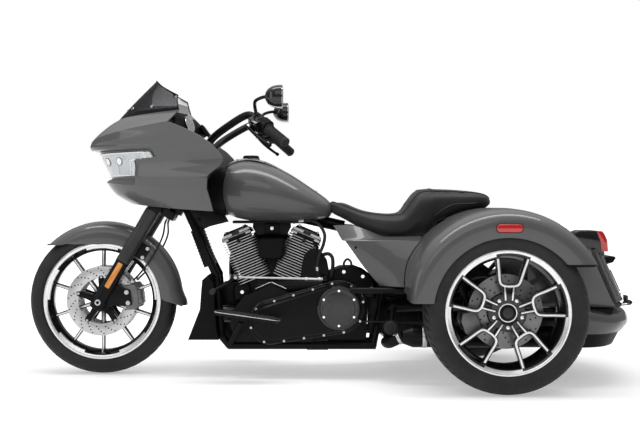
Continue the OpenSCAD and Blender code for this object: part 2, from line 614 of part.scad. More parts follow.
// Primary chain case on the left: two rounds joined, with the round clutch cover
clutch_at = [ex + 290, 300];
derby_r = 93;
case_face = case_w / 2 + 0.3;
function capsule(a, ra, b, rb, n) =
  let (d = norm(b - a), dir = atan2(b[1] - a[1], b[0] - a[0]), phi = acos((ra - rb) / d))
  concat([for (k = [0:n]) a + polar(ra, dir + phi + (360 - 2 * phi) * k / n)],
         [for (k = [0:n]) b + polar(rb, dir - phi + 2 * phi * k / n)]);
module primary_cover() color(c_satin) translate([0, -case_face, 0]) rotate([90, 0, 0]) {
  linear_extrude(70) polygon(capsule([ex, crank_z - 4], 92, clutch_at, 112, 28));
  translate([0, 0, 69]) linear_extrude(16) polygon(capsule([ex, crank_z - 4], 76, clutch_at, 103, 28));
  translate([clutch_at[0], clutch_at[1], 84]) cylinder(r1 = derby_r, r2 = derby_r - 6, h = 20);
}
module air_cleaner() color(c_black) {
  at = [ex - 10, 130, 556];
  translate(at) rotate([-90, 0, 0]) {
    cylinder(r = 92, h = 62);
    translate([0, 0, 61]) cylinder(r1 = 92, r2 = 76, h = 16);
  }
  translate([at[0], 20, at[2]]) rotate([-90, 0, 0]) cylinder(r = 26, h = 111);
  difference() {
    rod([ex - 70, 16, 556], [ex + 70, 16, 556], 22);
    for (k = [-1, 1]) on_cylinder(k) cylinder(r = fin_r + 0.5, h = head_low + 20);
    for (k = [-1, 1]) on_cylinder(k) translate([0, 0, 300]) linear_extrude(200) square([145, 151],
        center = true);
  }
}
module horn_cover() color(c_satin) {
  translate([ex + 2, -66, 548]) rotate([90, 0, 0]) linear_extrude(64)
    polygon([[-58, 46], [58, 46], [52, -34], [40, -46], [-40, -46], [-52, -34]]);
  translate([ex, -38, 552]) cube([44, 63, 40], center = true);
}
// Exhaust on the right, with a crossover under the gearbox to the left muffler
muffler_y = trunk_w / 2 - 95;
muffler_z = 196;
muffler_x = ex + 548;
muffler_len = tail_x - 225.5 - muffler_x;
pipe_r = 22;
head_port = head_low + 16;
port_x = head_port * sin(lean);
port_z = crank_z + head_port * cos(lean);
front_pipe = [[ex - port_x, 85, port_z], [ex - port_x, 102, port_z - 2],
    [ex - port_x - 34, 156, port_z - 40], [ex - port_x - 46, 190, 450],
              [ex - port_x - 36, 196, 360], [ex - 130, 196, 276], [ex - 20, 196, 226],
                  [ex + 190, 198, 186], [ex + 340, 236, 165],
              [ex + 460, muffler_y - 29, 163], [ex + 515, muffler_y - 7, 169],
                  [muffler_x + 4, muffler_y, muffler_z]];
rear_pipe = [[ex + port_x, 85, port_z], [ex + port_x, 102, port_z - 2],
    [ex + port_x + 34, 160, port_z - 50], [ex + port_x + 44, 194, 450],
             [ex + port_x + 46, 197, 330], [ex + port_x + 46, 198, 190]];
cross_pipe = [[ex + 448, muffler_y - 39, 163], [ex + 482, muffler_y - 95, 163], [ex + 505, 150, 163],
    [ex + 505, -150, 163], [ex + 486, 95 - muffler_y, 163],
              [ex + 500, 23 - muffler_y, 168], [muffler_x + 4, -muffler_y, muffler_z]];
module exhaust() color(c_black) {
  sweep(resample(front_pipe, 33), pipe_r, 12);
  sweep(resample(rear_pipe, 15), pipe_r - 0.7, 12);
  sweep(resample(cross_pipe, 18), pipe_r - 0.4, 12);
  for (k = [-1, 1]) rod([ex + k * port_x, 75.7, port_z], [ex + k * port_x, 86, port_z], pipe_r + 5);
  both_sides() translate([muffler_x, muffler_y, muffler_z]) rotate([0, 90, 0]) difference() {
    rotate_extrude() polygon([[0, 0], [pipe_r + 6, 0], [muffler_d / 2, 34],
        [muffler_d / 2, muffler_len - 50], [pipe_r + 8, muffler_len], [0, muffler_len]]);
    translate([0, 0, muffler_len - 120]) cylinder(r = pipe_r, h = 300);
  }
}
// Black spoiler in front of the engine, shaped round the down tubes
module chin_fairing() color(c_black) difference() {
  translate([ex, 0, 0]) rotate([90, 0, 0]) linear_extrude(300, center = true)
    polygon([[-352, 160], [-222, 160], [-232, 200], [-240, 300], [-244, 400], [-268, 436], [-292, 414],
        [-296, 372], [-302, 290]]);
  translate([ex - 160, 0, 300]) cube([164, 2 * (rail_y - rail_r), 600], center = true);
  both_sides() {
    rod(down_top, past(down_top, knee, 14), rail_r + 0.5);
    rod(past(toe, knee, 14), past(knee, toe, 14), rail_r + 0.5);
    rod(past(front_corner, toe, 14), past(toe, front_corner, 14), rail_r + 0.5);
  }
}

// Fuel tank stations: [x from the crankshaft, share of the half width, low and high from the backbone]
tank_stations = [[-216, 0.36, -19.7, 84.3], [-206, 0.66, -43.4, 126.6], [-170, 0.9, -59.2, 162.8],
    [-100, 1, -61.1, 190.9], [-10, 1, -46.5, 193.5],
                 [80, 0.92, -25.9, 170.1], [160, 0.78, -5.5, 136.5], [226, 0.6, 15.6, 105.6],
                     [252, 0.42, 31.6, 85.6], [262, 0.28, 43.9, 71.9]];
tunnel_half = backbone_r + 8;
function backbone_z(x) = lerp(backbone_front[2], backbone_rear[2],
    (x - backbone_front[0]) / (backbone_rear[0] - backbone_front[0]));
// A tank section whose underside is open for the backbone
function tank_ring(s) =
  let (x = ex + s[0], w = s[1] * tank_w / 2, low = backbone_z(x) + s[2], high = backbone_z(x) + s[3])
  let (half = min(tunnel_half, w - 8), n = 16, top = min(backbone_z(x) + backbone_r + 10, high - 8))
  concat(
    [for (k = [0:n]) let (a = -48 + 276 * k / n, c = cos(a), q = sin(a))
      [x, w * sign(c) * pow(abs(c), 0.72), (low + high) / 2 + (high - low) / 2 * sign(q) * pow(abs(q),
          0.8)]],
    [[x, -half, low], [x, -half, top], [x, half, top], [x, half, low]]
  );
module fuel_tank() color(c_paint) loft([for (s = resample(tank_stations, 18)) tank_ring(s)]);
// Console strip on top of the tank, with the filler cap
module tank_console() color(c_metal) {
  rows = resample([for (s = tank_stations) [s[0], s[3] + backbone_z(ex + s[0])]], 18);
  loft([for (i = [2:16]) let (x = ex + rows[i][0], z = rows[i][1] + 0.6, h = i < 9 ? 16 : 8, w =
      lerp(46, 30, (i - 2) / 14))
    [[x, w, z], [x, w * 0.8, z + h], [x, -w * 0.8, z + h], [x, -w, z]]]);
  translate([ex - 92, 0, backbone_z(ex - 92) + 204.7]) cylinder(r = 34, h = 14);
}

// Body line over the rear wheels
fender_r = rear_tyre_d / 2 + 76;
deck_r = fender_r + 8;
deck_top = rz + deck_r;
function deck_z(x) = rz + sqrt(max(0, deck_r * deck_r - (x - rx) * (x - rx)));
function deck_front(z) = rx - sqrt(max(0, deck_r * deck_r - (z - rz) * (z - rz)));

// Seat stations: [share of the length, share of the half width, low and high from the seat line],
// where the seat line runs from the tail of the tank to the top of the deck
seat_front = ex + 264;
seat_rear = rx + 18;
seat_front_z = 716;
function seat_line(x) = lerp(seat_front_z, deck_top, (x - seat_front) / (seat_rear - seat_front));
seat_stations = [[0, 0.3, 0, 42], [0.03, 0.4, -16.2, 45.8], [0.1, 0.56, -40.8, 25.2],
    [0.2, 0.78, -81.6, -5.6], [0.32, 0.96, -118.6, -18.6],
                 [0.44, 1, -123.5, -19.5], [0.52, 1, -124.2, -14.2], [0.57, 0.98, -120.6, 21.4],
                     [0.61, 0.94, -104.9, 65.1], [0.66, 0.86, -57.3, 80.7],
                 [0.76, 0.82, -32.1, 77.9], [0.88, 0.78, -7, 69], [0.96, 0.7, 0.3, 56.3],
                     [1, 0.5, 2, 34]];
function seat_low(x, z) = x > rx - 220 ? max(z, deck_z(x) + 1.2) : z;
module seat() color(c_leather) loft([for (s = resample(seat_stations, 26))
  let (x = lerp(seat_front, seat_rear, s[0]))
  section(x, s[1] * seat_w / 2, seat_low(x, seat_line(x) + s[2]), seat_line(x) + s[3], 24, 0.55)]);

// Panels below the seat: rows from the top down, [front x, front y, rear y, front height from the
// seat line,
// rear height from the top of the deck]
panel_rows = [[ex + 270, 150, 262, -66.1, -118], [ex + 302, 182, 272, -122.4, -126],
    [ex + 316, 194, 292, -132.6, -136], [ex + 344, 200, 302, -171.9, -179],
              [ex + 398, 206, 314, -247.6, -254], [ex + 462, 214, 326, -322.3, -328]];
module side_panels() color(c_paint) both_sides() panel([
  for (r = resample(panel_rows, 10)) let (front_z = seat_line(r[0]) + r[3], rear_z = deck_top + r[4]) [
    for (k = [0:8]) let (t = k / 8)
      [lerp(r[0], deck_front(rear_z) - 3.2, t), -lerp(r[1], r[2], t), lerp(front_z, rear_z, t)]
  ]
], 4);

// Rear fenders: hollow sections swept round the rear axle, with the deck that joins them behind the seat
fender_out = ry + rear_tyre_w / 2 + 12;
fender_in = trunk_w / 2 + 0.5;
fender_lip_r = rear_tyre_d / 2 - 28;
deck_half = trunk_w / 2 + 6;
deck_leg_in = 236;
module round_rear_axle(from, to) translate([rx, 0, rz]) rotate([90, 0, 0]) rotate(from)
  rotate_extrude(angle = to - from, $fn = 96) children();
module rear_fenders() color(c_paint) {
  for (side = [-1, 1]) round_rear_axle(28, 174) polygon([
    [fender_lip_r, side * (fender_out - 2)], [fender_lip_r, side * (fender_out - 2 - shell_t)],
    [fender_r - 50, side * (fender_out - shell_t)], [fender_r - 22, side * (fender_out - 20)],
    [fender_r - shell_t, side * (fender_out - 62)], [deck_r - 1.2 - shell_t, side * fender_in],
    [deck_r - 1.2, side * fender_in], [fender_r, side * (fender_out - 64)],
        [fender_r - 16, side * (fender_out - 14)],
    [fender_r - 48, side * fender_out]
  ]);
  round_rear_axle(deck_rear_angle, 118) translate([deck_r - shell_t, -deck_half]) square([shell_t,
      2 * deck_half]);
  for (side = [-1, 1]) round_rear_axle(117, 172)
    translate([deck_r - shell_t + 0.4, side > 0 ? deck_leg_in : 0.8 - deck_half])
      square([shell_t - 0.8, deck_half - 0.8 - deck_leg_in]);
}

// Trunk: sections from the front wall to the open rear end, whose plane leans forward at the top
trunk_low = 320;
trunk_wall = shell_t + 3;
trunk_high_rear = rz + 236;
door_lean = 24;
door_foot = tail_x - 66;
function rear_plane(z) = door_foot - (z - trunk_low) * tan(door_lean);
// The top stays under the deck at its front wall and at the rear end of the deck
deck_rear_angle = 60;
deck_under = deck_r - shell_t;
deck_end = [rx + deck_under * cos(deck_rear_angle), rz + deck_under * sin(deck_rear_angle) - 2];
trunk_fall = (deck_end[1] - trunk_high_rear) / (rear_plane(trunk_high_rear) - deck_end[0]);
trunk_high_front = min(rz + sqrt(pow(deck_under, 2) - pow(trunk_front - rx, 2)) - 0.5,
                       deck_end[1] + trunk_fall * (deck_end[0] - trunk_front));
trunk_steps = 5;
trunk_n = 32;
function trunk_ring(t, inset) = [
  for (q = section(0, trunk_w / 2 - inset, trunk_low + inset, lerp(trunk_high_front, trunk_high_rear,
      t) - inset, trunk_n, 0.22))
    [lerp(trunk_front + inset, rear_plane(q[2]), t), q[1], q[2]]
];
hinge_r = 9;
hinge_pin_r = 5;
hinge_y = 240;
hinge_x = door_foot + 22;
hinge_z = trunk_low + 11;
module trunk_shell() color(c_paint) {
  n = trunk_n;
  outer = [for (k = [0:trunk_steps]) trunk_ring(k / trunk_steps, 0)];
  inner = [for (k = [0:trunk_steps]) trunk_ring(k / trunk_steps, trunk_wall)];
  s = (trunk_steps + 1) * n;
  skin = [for (i = [0:trunk_steps - 1], k = [0:n - 1]) let (a = i * n + k, b = i * n + (k + 1) % n, c =
      b + n, d = a + n)
    each [[a, d, c], [a, c, b]]];
  lining = [for (f = skin) [f[0] + s, f[2] + s, f[1] + s]];
  mouth = [for (k = [0:n - 1]) let (a = trunk_steps * n + k, b = trunk_steps * n + (k + 1) % n) each [[a,
      a + s, b + s], [a, b + s, b]]];
  polyhedron(points = concat([for (r = outer) each r], [for (r = inner) each r]),
             faces = concat(skin, lining, mouth, [[for (k = [0:n - 1]) k]],
                 [[for (k = [n - 1:-1:0]) s + k]]), convexity = 8);
  for (y = [-hinge_y, hinge_y]) translate([hinge_x, y, hinge_z]) rotate([90, 0, 0]) {
    cylinder(r = hinge_pin_r, h = 84, center = true);
    for (side = [-1, 1]) translate([0, 0, side * 38]) linear_extrude(8, center = true)
      polygon([[-70, -19], [8, -19], [9, 0], [5, 7], [-5, 7], [-12, -8], [-70, -8]]);
  }
}
// Door at the back of the trunk, hinged along its lower edge
door_gap = move_gap;
door_t = 22;
door_crown = 8;
door_low = hinge_z + 14;
door_high = trunk_high_rear + 4;
door_rows = 6;
module trunk_door() color(c_paint) {
  panel([for (i = [0:door_rows]) let (z = lerp(door_low, door_high, i / door_rows)) [for (k =
      [8:-1:-8]) let (u = k / 8)
    [rear_plane(z) + door_gap + door_t - door_crown * u * u, u * (trunk_w / 2 - 6), z]]],
        door_t - door_crown);
  for (y = [-hinge_y, hinge_y]) difference() {
    union() {
      translate([hinge_x, y, hinge_z]) rotate([90, 0, 0]) cylinder(r = hinge_r, h = 60, center = true);
      translate([hinge_x - 6, y, hinge_z + 16]) cube([9, 60, 30], center = true);
    }
    translate([hinge_x, y, hinge_z]) rotate([90, 0, 0]) cylinder(r = hinge_pin_r + run_gap, h = 80,
        center = true);
  }
}
// Bracket for a licence plate on two bosses, and the lamp hood above it
plate_w = 196;
plate_h = 100;
plate_hole_r = 3.5;
plate_pitch = 146;
plate_z = 404;
hood_z = 494;
module on_door(z) translate([rear_plane(z) + door_gap + door_t + 0.4, 0, z]) rotate([0, 90 - door_lean,
    0]) children();
module plate_bracket() color(c_black) {
  on_door(plate_z) {
    translate([0, 0, 12]) linear_extrude(4) difference() {
      square([plate_h, plate_w], center = true);
      for (y = [-1, 1]) translate([0, y * plate_pitch / 2]) circle(r = plate_hole_r);
    }
    for (y = [-1, 1]) translate([0, y * 30, 0]) cylinder(r = 10, h = 13);
  }
  on_door(hood_z) rotate([90, 0, 0]) linear_extrude(240, center = true)
    polygon([[-18, 0.2], [16, 0.2], [20, 34], [8, 52], [0, 50], [-10, 20]]);
}

// Bumper and lower valance behind and under the trunk: [height, distance ahead of the tail, share
// of the half width]
bumper_rows = [[156, 58, 0.9], [206, 34, 0.95], [214, 24, 0.97], [250, 0, 1], [284, 12, 1],
    [300, 34, 0.99], [306, 66, 0.97], [trunk_low - 8.1, 112, 0.94]];
module rear_bumper() color(c_paint) panel([
  for (r = bumper_rows) [for (k = [12:-1:-12]) let (u = k / 12, a = abs(u))
    [tail_x - r[1] - 250 * pow(a, 5), u * r[2] * trunk_w / 2, r[0]]]
], shell_t);

// Tail lamps on the rear corners, and their lenses with the fender side markers
lamp_y = 352;
lamp_x = rear_plane(trunk_high_rear) - 67.4;
lamp_z = trunk_top(lamp_x);
function trunk_top(x) = lerp(trunk_high_front, trunk_high_rear,
    (x - trunk_front) / (rear_plane(trunk_high_rear) - trunk_front));
lamp_fall = (trunk_top(lamp_x + 50) - trunk_top(lamp_x - 50)) / 100;
module tail_lamps() color(c_black) both_sides() translate([lamp_x, lamp_y, lamp_z]) rotate([90, 0,
    0]) linear_extrude(104, center = true)
  polygon([[-66, 0.3 - 66 * lamp_fall], [-60, 62], [44, 58], [60, 20], [64, 0.3 + 64 * lamp_fall]]);
module red_lenses() color(c_red) both_sides() {
  translate([lamp_x, lamp_y, lamp_z]) rotate([90, 0, 0]) linear_extrude(96, center = true)
    polygon([[44.5, 57.6], [56, 55], [72, 20], [76, 4 + 64 * lamp_fall], [64.4, 4 + 64 * lamp_fall],
        [60.4, 20]]);
  translate([rx, fender_out + 0.2, rz + fender_r - 70]) rotate([-90, 0,
      0]) linear_extrude(6) square([100, 30], center = true);
}

// Rider's footboards and passenger pegs, then the gear and brake levers
module foot_rests() color(c_black) both_sides() {
  on_board() linear_extrude(18)
    polygon([[-138, -36], [-120, -50], [110, -50], [134, -30], [134, 34], [110, 50], [-112, 50],
        [-138, 26]]);
  rod([pivot_at[0] - 14, 226, 224], [pivot_at[0] - 14, 304, 224], 29);
  rod(pivot_at + [0, arm_end_y + 0.5, 0], pivot_at + [0, 214, 0], 16);
  rod(pivot_at + [0, 206, 0], [pivot_at[0] - 12, 240, 232], 12);
}
lever_y = -244;
module foot_levers() color(c_black) {
  rod([ex - 150, lever_y, 433], [ex + 238, lever_y, 425], 6);
  sweep(resample([[ex - 142, lever_y, 433], [ex - 182, lever_y - 6, 404], [ex - 233, lever_y - 40, 379]],
      8), 8, 8);
  rod([ex - 233, lever_y - 90, 377], [ex - 233, lever_y - 32, 377], 12);
  rod([ex + 233, lever_y - 12, 425], [ex + 233, -70, 425], 8);
  rod([ex + 233, -70, 392.5], [ex + 233, -70, 432], 10);
  translate([0, board_at[1] - 50.5, 0]) rotate([90, 0, 0]) linear_extrude(9)
    polygon([[ex - 150, 262], [ex - 110, 262], [ex - 120, 292], [ex - 208, 374], [ex - 240, 372],
        [ex - 238, 352], [ex - 150, 284]]);
  rod([ex - 224, board_at[1] - 52, 366], [ex - 224, board_at[1] + 20, 366], 16);
}

// Rear axle with its differential, arms, dampers and belt
housing_r = 40;
module rear_axle() color(c_black) difference() {
  union() {
    on_axle(rx, 0, rz) cylinder(r = housing_r, h = 2 * rear_housing_end, center = true);
    on_axle(rx, 0, rz) cylinder(r = 98, h = 150, center = true);
  }
  on_axle(rx, 0, rz) cylinder(r = rear_shaft_r + run_gap, h = 1300, center = true);
}
rear_disc_z = rear_face - 52 - seat_gap - 30;
bracket_z = rear_housing_end - ry;
module rear_calipers() color(c_satin) for (side =
    [-1, 1]) on_rear_wheel(side) rotate(side < 0 ? 200 : 340) {
  difference() {
    translate([rear_disc_d / 2 - 10, 0, bracket_z - 12]) linear_extrude(rear_disc_z + 24 - bracket_z + 12)
      polygon([[-30, -46], [20, -52], [36, -24], [36, 24], [20, 52], [-30, 46]]);
    translate([rear_disc_d / 2 - 50, 0, rear_disc_z]) linear_extrude(14, center =
        true) square([132, 140], center = true);
  }
  translate([0, 0, bracket_z - 12]) linear_extrude(12) difference() {
    union() {
      circle(r = 60);
      translate([rear_disc_d / 4, 0]) square([rear_disc_d / 2, 64], center = true);
    }
    circle(r = housing_r + 0.4);
  }
}
arm_end_y = 190;
module rear_suspension() color(c_black) {
  rod(pivot_at - [0, arm_end_y, 0], pivot_at + [0, arm_end_y, 0], pivot_r);
  both_sides() {
    rod(pivot_at + [0, 166, 0], [rx - 52, arm_end_y, rz], 22);
    on_axle(rx, arm_end_y, rz) difference() {
      cylinder(r = 62, h = 44, center = true);
      cylinder(r = housing_r + 0.3, h = 60, center = true);
    }
    foot = [rx - 110, 250, lerp(pivot_at[2], rz, 0.84) + 13.2];
    rod([foot[0], 200, foot[2] - 14], foot + [0, 12, -14], 12);
    rod(foot + [0, 0, -14], shock_top, 13);
    rod(lerp(foot, shock_top, 0.2), lerp(foot, shock_top, 0.82), 29);
    rod(shock_top - [0, 23.5, 0], shock_top + [0, 12, 0], 13.5);
  }
}
belt_front = [ex + 330, 300];
belt_y = -97;
belt_w = 20;
module drive_belt() color(c_rubber) translate([0, belt_y, 0]) rotate([90, 0, 0]) {
  linear_extrude(belt_w) difference() {
    polygon(capsule(belt_front, 66, [rx, rz], 100, 30));
    polygon(capsule(belt_front, 60, [rx, rz], 94, 30));
  }
  translate([belt_front[0], belt_front[1], 2]) cylinder(r = 61.5, h = belt_w - 4);
  translate([rx, rz, 2]) difference() {
    cylinder(r = 95.5, h = belt_w - 4);
    translate([0, 0, -5]) cylinder(r = housing_r + 0.4, h = 40);
  }
}

frame();
crankcase();
cylinders();
primary_cover();
air_cleaner();
horn_cover();
exhaust();
chin_fairing();
fuel_tank();
tank_console();
seat();
side_panels();
trunk_shell();
rear_fenders();
rear_bumper();
tail_lamps();
red_lenses();
foot_rests();
foot_levers();
rear_axle();
rear_suspension();
drive_belt();
rear_calipers();
fairing_shell();
headlamp();
windscreen();
dash();
triple_clamps();
fork_legs();
fork_reflectors();
front_axle();
front_fender();
front_calipers();
handlebar();
grips();
hand_controls();
hand_levers();
mirrors();
brake_hoses();
front_tyre();
front_rim();
front_discs();
rear_tyre_left();
rear_rim_left();
rear_hub_left();
rear_tyre_right();
rear_rim_right();
rear_hub_right();
trunk_door();
plate_bracket();
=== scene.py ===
import json
import math
import bpy
import bmesh
import numpy as np
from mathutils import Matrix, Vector
from mathutils.bvhtree import BVHTree


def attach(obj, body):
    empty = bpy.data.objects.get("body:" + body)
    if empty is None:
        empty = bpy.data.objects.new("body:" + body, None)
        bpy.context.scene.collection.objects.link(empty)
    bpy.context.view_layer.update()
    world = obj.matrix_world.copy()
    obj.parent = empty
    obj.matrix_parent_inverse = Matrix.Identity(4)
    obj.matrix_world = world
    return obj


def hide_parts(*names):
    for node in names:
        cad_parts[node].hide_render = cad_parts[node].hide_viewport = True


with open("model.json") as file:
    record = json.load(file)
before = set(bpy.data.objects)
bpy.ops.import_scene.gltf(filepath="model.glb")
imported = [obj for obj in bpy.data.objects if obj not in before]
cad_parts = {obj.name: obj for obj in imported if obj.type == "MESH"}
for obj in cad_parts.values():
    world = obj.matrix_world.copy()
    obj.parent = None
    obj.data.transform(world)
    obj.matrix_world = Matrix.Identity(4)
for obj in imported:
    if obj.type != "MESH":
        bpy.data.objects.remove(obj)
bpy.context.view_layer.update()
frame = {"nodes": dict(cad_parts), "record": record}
cad = frame["nodes"]
bodyOf = {n: b for b, names in frame["record"]["behaviour"]["bodies"].items() for n in names}
scene = bpy.context.scene
print("frame loaded:", len(cad), "nodes")

# main places of the trike in millimetres: x to the rear, y to the rider's right, z up
trike = {
    "frontX": -980.5, "frontZ": 319.5, "rearX": 689.5, "rearY": 570.0, "rearZ": 320.0,
    "crankX": -243.5, "crankZ": 240.0, "forkAngle": 30.5, "legY": 118.0,
}


# shapes: every part is (points in mm, faces, material)
def lerp(a, b, t):
    return a + (b - a) * t


def ease(t):
    t = min(1.0, max(0.0, t))
    return t * t * (3 - 2 * t)


def smoothRows(rows, n):  # a smooth curve through table rows
    rows = np.asarray(rows, float)
    last = len(rows) - 1
    out = []
    for k in range(n + 1):
        t = k * last / n
        i = min(int(math.floor(t)), last - 1)
        f = t - i
        a, b, c, d = rows[max(i - 1, 0)], rows[i], rows[i + 1], rows[min(i + 2, last)]
        out.append(0.5 * (2 * b + (c - a) * f + (2 * a - 5 * b + 4 * c - d) * f * f
                          + (3 * b - a - 3 * c + d) * f ** 3))
    return np.array(out)


def ringSection(x, halfW, low, high, n, e, upright=None):  # rounded section across the trike
    a = 2 * math.pi * np.arange(n) / n
    c, s = np.cos(a), np.sin(a)
    y = halfW * np.sign(c) * np.abs(c) ** e
    z = (low + high) / 2 + (high - low) / 2 * np.sign(s) * np.abs(s) ** (upright or e)
    return np.stack([np.full(n, float(x)), y, z], 1)


def gridNormals(g):
    n = np.cross(np.gradient(g, axis=0), np.gradient(g, axis=1))
    return n / np.maximum(np.linalg.norm(n, axis=2, keepdims=True), 1e-9)


def rimFaces(m, n):  # faces that join the edges of two grids of m by n points
    s = m * n
    rim = [(j, j + 1) for j in range(n - 1)]
    rim += [(i * n + n - 1, (i + 1) * n + n - 1) for i in range(m - 1)]
    rim += [((m - 1) * n + j + 1, (m - 1) * n + j) for j in range(n - 2, -1, -1)]
    rim += [((i + 1) * n, i * n) for i in range(m - 2, -1, -1)]
    return [(a, b, b + s, a + s) for a, b in rim]


def panelPart(grid, thick, material):  # a sheet of that thickness behind a grid of surface points
    g = np.asarray(grid, float)
    m, n = g.shape[:2]
    verts = np.concatenate([g.reshape(-1, 3), (g - thick * gridNormals(g)).reshape(-1, 3)])
    faces = []
    for i in range(m - 1):
        for j in range(n - 1):
            a = i * n + j
            q = (a, a + n, a + n + 1, a + 1)
            faces += [q, tuple(m * n + k for k in reversed(q))]
    return verts, faces + rimFaces(m, n), material


def loftPart(rings, material, wrap=False):  # closed skin through rings of points
    rings = np.asarray(rings, float)
    m, n = rings.shape[:2]
    faces = []
    for i in range(m if wrap else m - 1):
        for k in range(n):
            a, b = i * n + k, i * n + (k + 1) % n
            c, d = ((i + 1) % m) * n + (k + 1) % n, ((i + 1) % m) * n + k
            faces.append((a, d, c, b))
    if not wrap:
        faces += [tuple(range(n)), tuple((m - 1) * n + k for k in range(n - 1, -1, -1))]
    return rings.reshape(-1, 3), faces, material


def tubePart(path, radius, material, sides=16, closed=False):  # round tube along points
    p = np.asarray(path, float)
    count = len(p)
    radii = np.full(count, float(radius)) if np.isscalar(radius) else np.asarray(radius, float)
    t = np.roll(p, -1, 0) - np.roll(p, 1, 0)
    if not closed:
        t[0], t[-1] = p[1] - p[0], p[-1] - p[-2]
    t /= np.linalg.norm(t, axis=1, keepdims=True)
    side = np.cross(t[0], [0, 0, 1] if abs(t[0][2]) < 0.9 else [0, 1, 0])
    rings = []
    a = 2 * math.pi * np.arange(sides) / sides
    for i in range(count):
        side = side - t[i] * np.dot(side, t[i])
        side = side / np.linalg.norm(side)
        up = np.cross(t[i], side)
        rings.append(p[i] + radii[i] * (np.cos(a)[:, None] * side + np.sin(a)[:, None] * up))
    return loftPart(rings, material, closed)


def rodPart(a, b, radius, material, sides=24):
    return tubePart([a, b], radius, material, sides)


def revolvePart(profile, material, place, segments=96, start=0.0, sweep=360.0):
    # closed outline (radius, z) turned round z
    prof = np.asarray(profile, float)
    full = abs(sweep - 360) < 1e-6
    steps = segments if full else segments + 1
    rings = []
    for k in range(steps):
        a = math.radians(start + sweep * k / segments)
        rings.append(np.stack([prof[:, 0] * math.cos(a), prof[:, 0] * math.sin(a), prof[:, 1]], 1))
    v, f, m = loftPart(rings, material, full)
    return place(v), f, m


def extrudePart(outline, low, high, material, place):  # flat outline pushed along local z
    o = np.asarray(outline, float)
    rings = [np.column_stack([o, np.full(len(o), z)]) for z in (low, high)]
    v, f, m = loftPart(rings, material)
    return place(v), f, m


def same(v):
    return v


def boxPart(low, high, material, place=same):
    x = [(low[0], low[1]), (high[0], low[1]), (high[0], high[1]), (low[0], high[1])]
    return extrudePart(x, low[2], high[2], material, place)


def polar(r, degrees):
    return np.array([r * math.cos(math.radians(degrees)), r * math.sin(math.radians(degrees))])


def circlePoints(radius, n, centre=(0, 0)):
    a = 2 * math.pi * np.arange(n) / n
    return np.stack([centre[0] + radius * np.cos(a), centre[1] + radius * np.sin(a)], 1)


def axlePlace(x, y, z):  # local z to the rider's left, local y up
    return lambda v: np.stack([x + v[:, 0], y - v[:, 2], z + v[:, 1]], 1)


def rearPlace(side):  # local z outwards from the trike
    t = trike
    if side < 0:
        return axlePlace(t["rearX"], -t["rearY"], t["rearZ"])
    return lambda v: np.stack([t["rearX"] + v[:, 0], t["rearY"] + v[:, 2], t["rearZ"] - v[:, 1]], 1)


def forkPoint(h, ahead=0.0, y=0.0):  # h up the fork from the axle
    a = math.radians(trike["forkAngle"])
    return np.array([trike["frontX"] + h * math.sin(a) - ahead * math.cos(a), y,
                     trike["frontZ"] + h * math.cos(a) + ahead * math.sin(a)])


def leanPlace(o, degrees):  # local z leans to the rear by that angle
    c, s = math.cos(math.radians(degrees)), math.sin(math.radians(degrees))
    return lambda v: o + np.stack([v[:, 0] * c + v[:, 2] * s, v[:, 1], -v[:, 0] * s + v[:, 2] * c], 1)


def turned(place, degrees, lift=0.0):  # the same place turned round its local z
    c, s = math.cos(math.radians(degrees)), math.sin(math.radians(degrees))
    return lambda v: place(np.stack([v[:, 0] * c - v[:, 1] * s, v[:, 0] * s + v[:, 1] * c, v[:, 2] + lift], 1))


def forkPlace(h, ahead=0.0, y=0.0):  # local z up the fork, local x to its rear
    return leanPlace(forkPoint(h, ahead, y), trike["forkAngle"])


def cylinderPlace(k):  # local z up a cylinder: k -1 for the front one, 1 for the rear one
    return leanPlace(np.array([trike["crankX"], 0, trike["crankZ"]]), 22.5 * k)


def bake(obj):  # modifiers become a plain mesh
    deps = bpy.context.evaluated_depsgraph_get()
    mesh = bpy.data.meshes.new_from_object(obj.evaluated_get(deps), preserve_all_data_layers=True, depsgraph=deps)
    old = obj.data
    obj.modifiers.clear()
    obj.data = mesh
    mesh.name = obj.name
    bpy.data.meshes.remove(old)


def shade(mesh, angle):
    mesh.shade_smooth()
    mesh.set_sharp_from_angle(angle=math.radians(angle))


def newMesh(name, parts):  # one mesh in metres from several parts
    verts, faces, base = [], [], 0
    for v, f, _ in parts:
        verts.append(np.asarray(v, float) * 0.001)
        faces += [tuple(base + k for k in q) for q in f]
        base += len(v)
    mesh = bpy.data.meshes.new(name)
    mesh.from_pydata(np.concatenate(verts).tolist(), [], faces)
    return mesh


def cleanMesh(mesh, weld=False, flat=0.0):  # welds points, then merges flat faces or turns faces outwards
    bm = bmesh.new()
    bm.from_mesh(mesh)
    if weld:
        bmesh.ops.remove_doubles(bm, verts=bm.verts, dist=2e-6)
    if flat:
        bmesh.ops.dissolve_limit(bm, angle_limit=math.radians(flat), verts=bm.verts, edges=bm.edges)
    else:
        bmesh.ops.recalc_face_normals(bm, faces=bm.faces)
    bm.to_mesh(mesh)
    bm.free()


def readPoints(mesh):
    flat = np.empty(len(mesh.vertices) * 3)
    mesh.vertices.foreach_get("co", flat)
    return flat.reshape(-1, 3)


def addObject(name, data):
    obj = bpy.data.objects.new(name, data)
    scene.collection.objects.link(obj)
    return obj


def addBevel(obj, width, segments=2, limit=35):
    b = obj.modifiers.new("edge", "BEVEL")
    b.width, b.segments, b.limit_method, b.angle_limit = width * 0.001, segments, "ANGLE", math.radians(limit)
    b.harden_normals = False
    bake(obj)


def settle(obj, body, stands=()):  # the piece rides on its body and stands for its nodes
    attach(obj, body)
    if stands:
        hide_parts(*stands)
    return obj


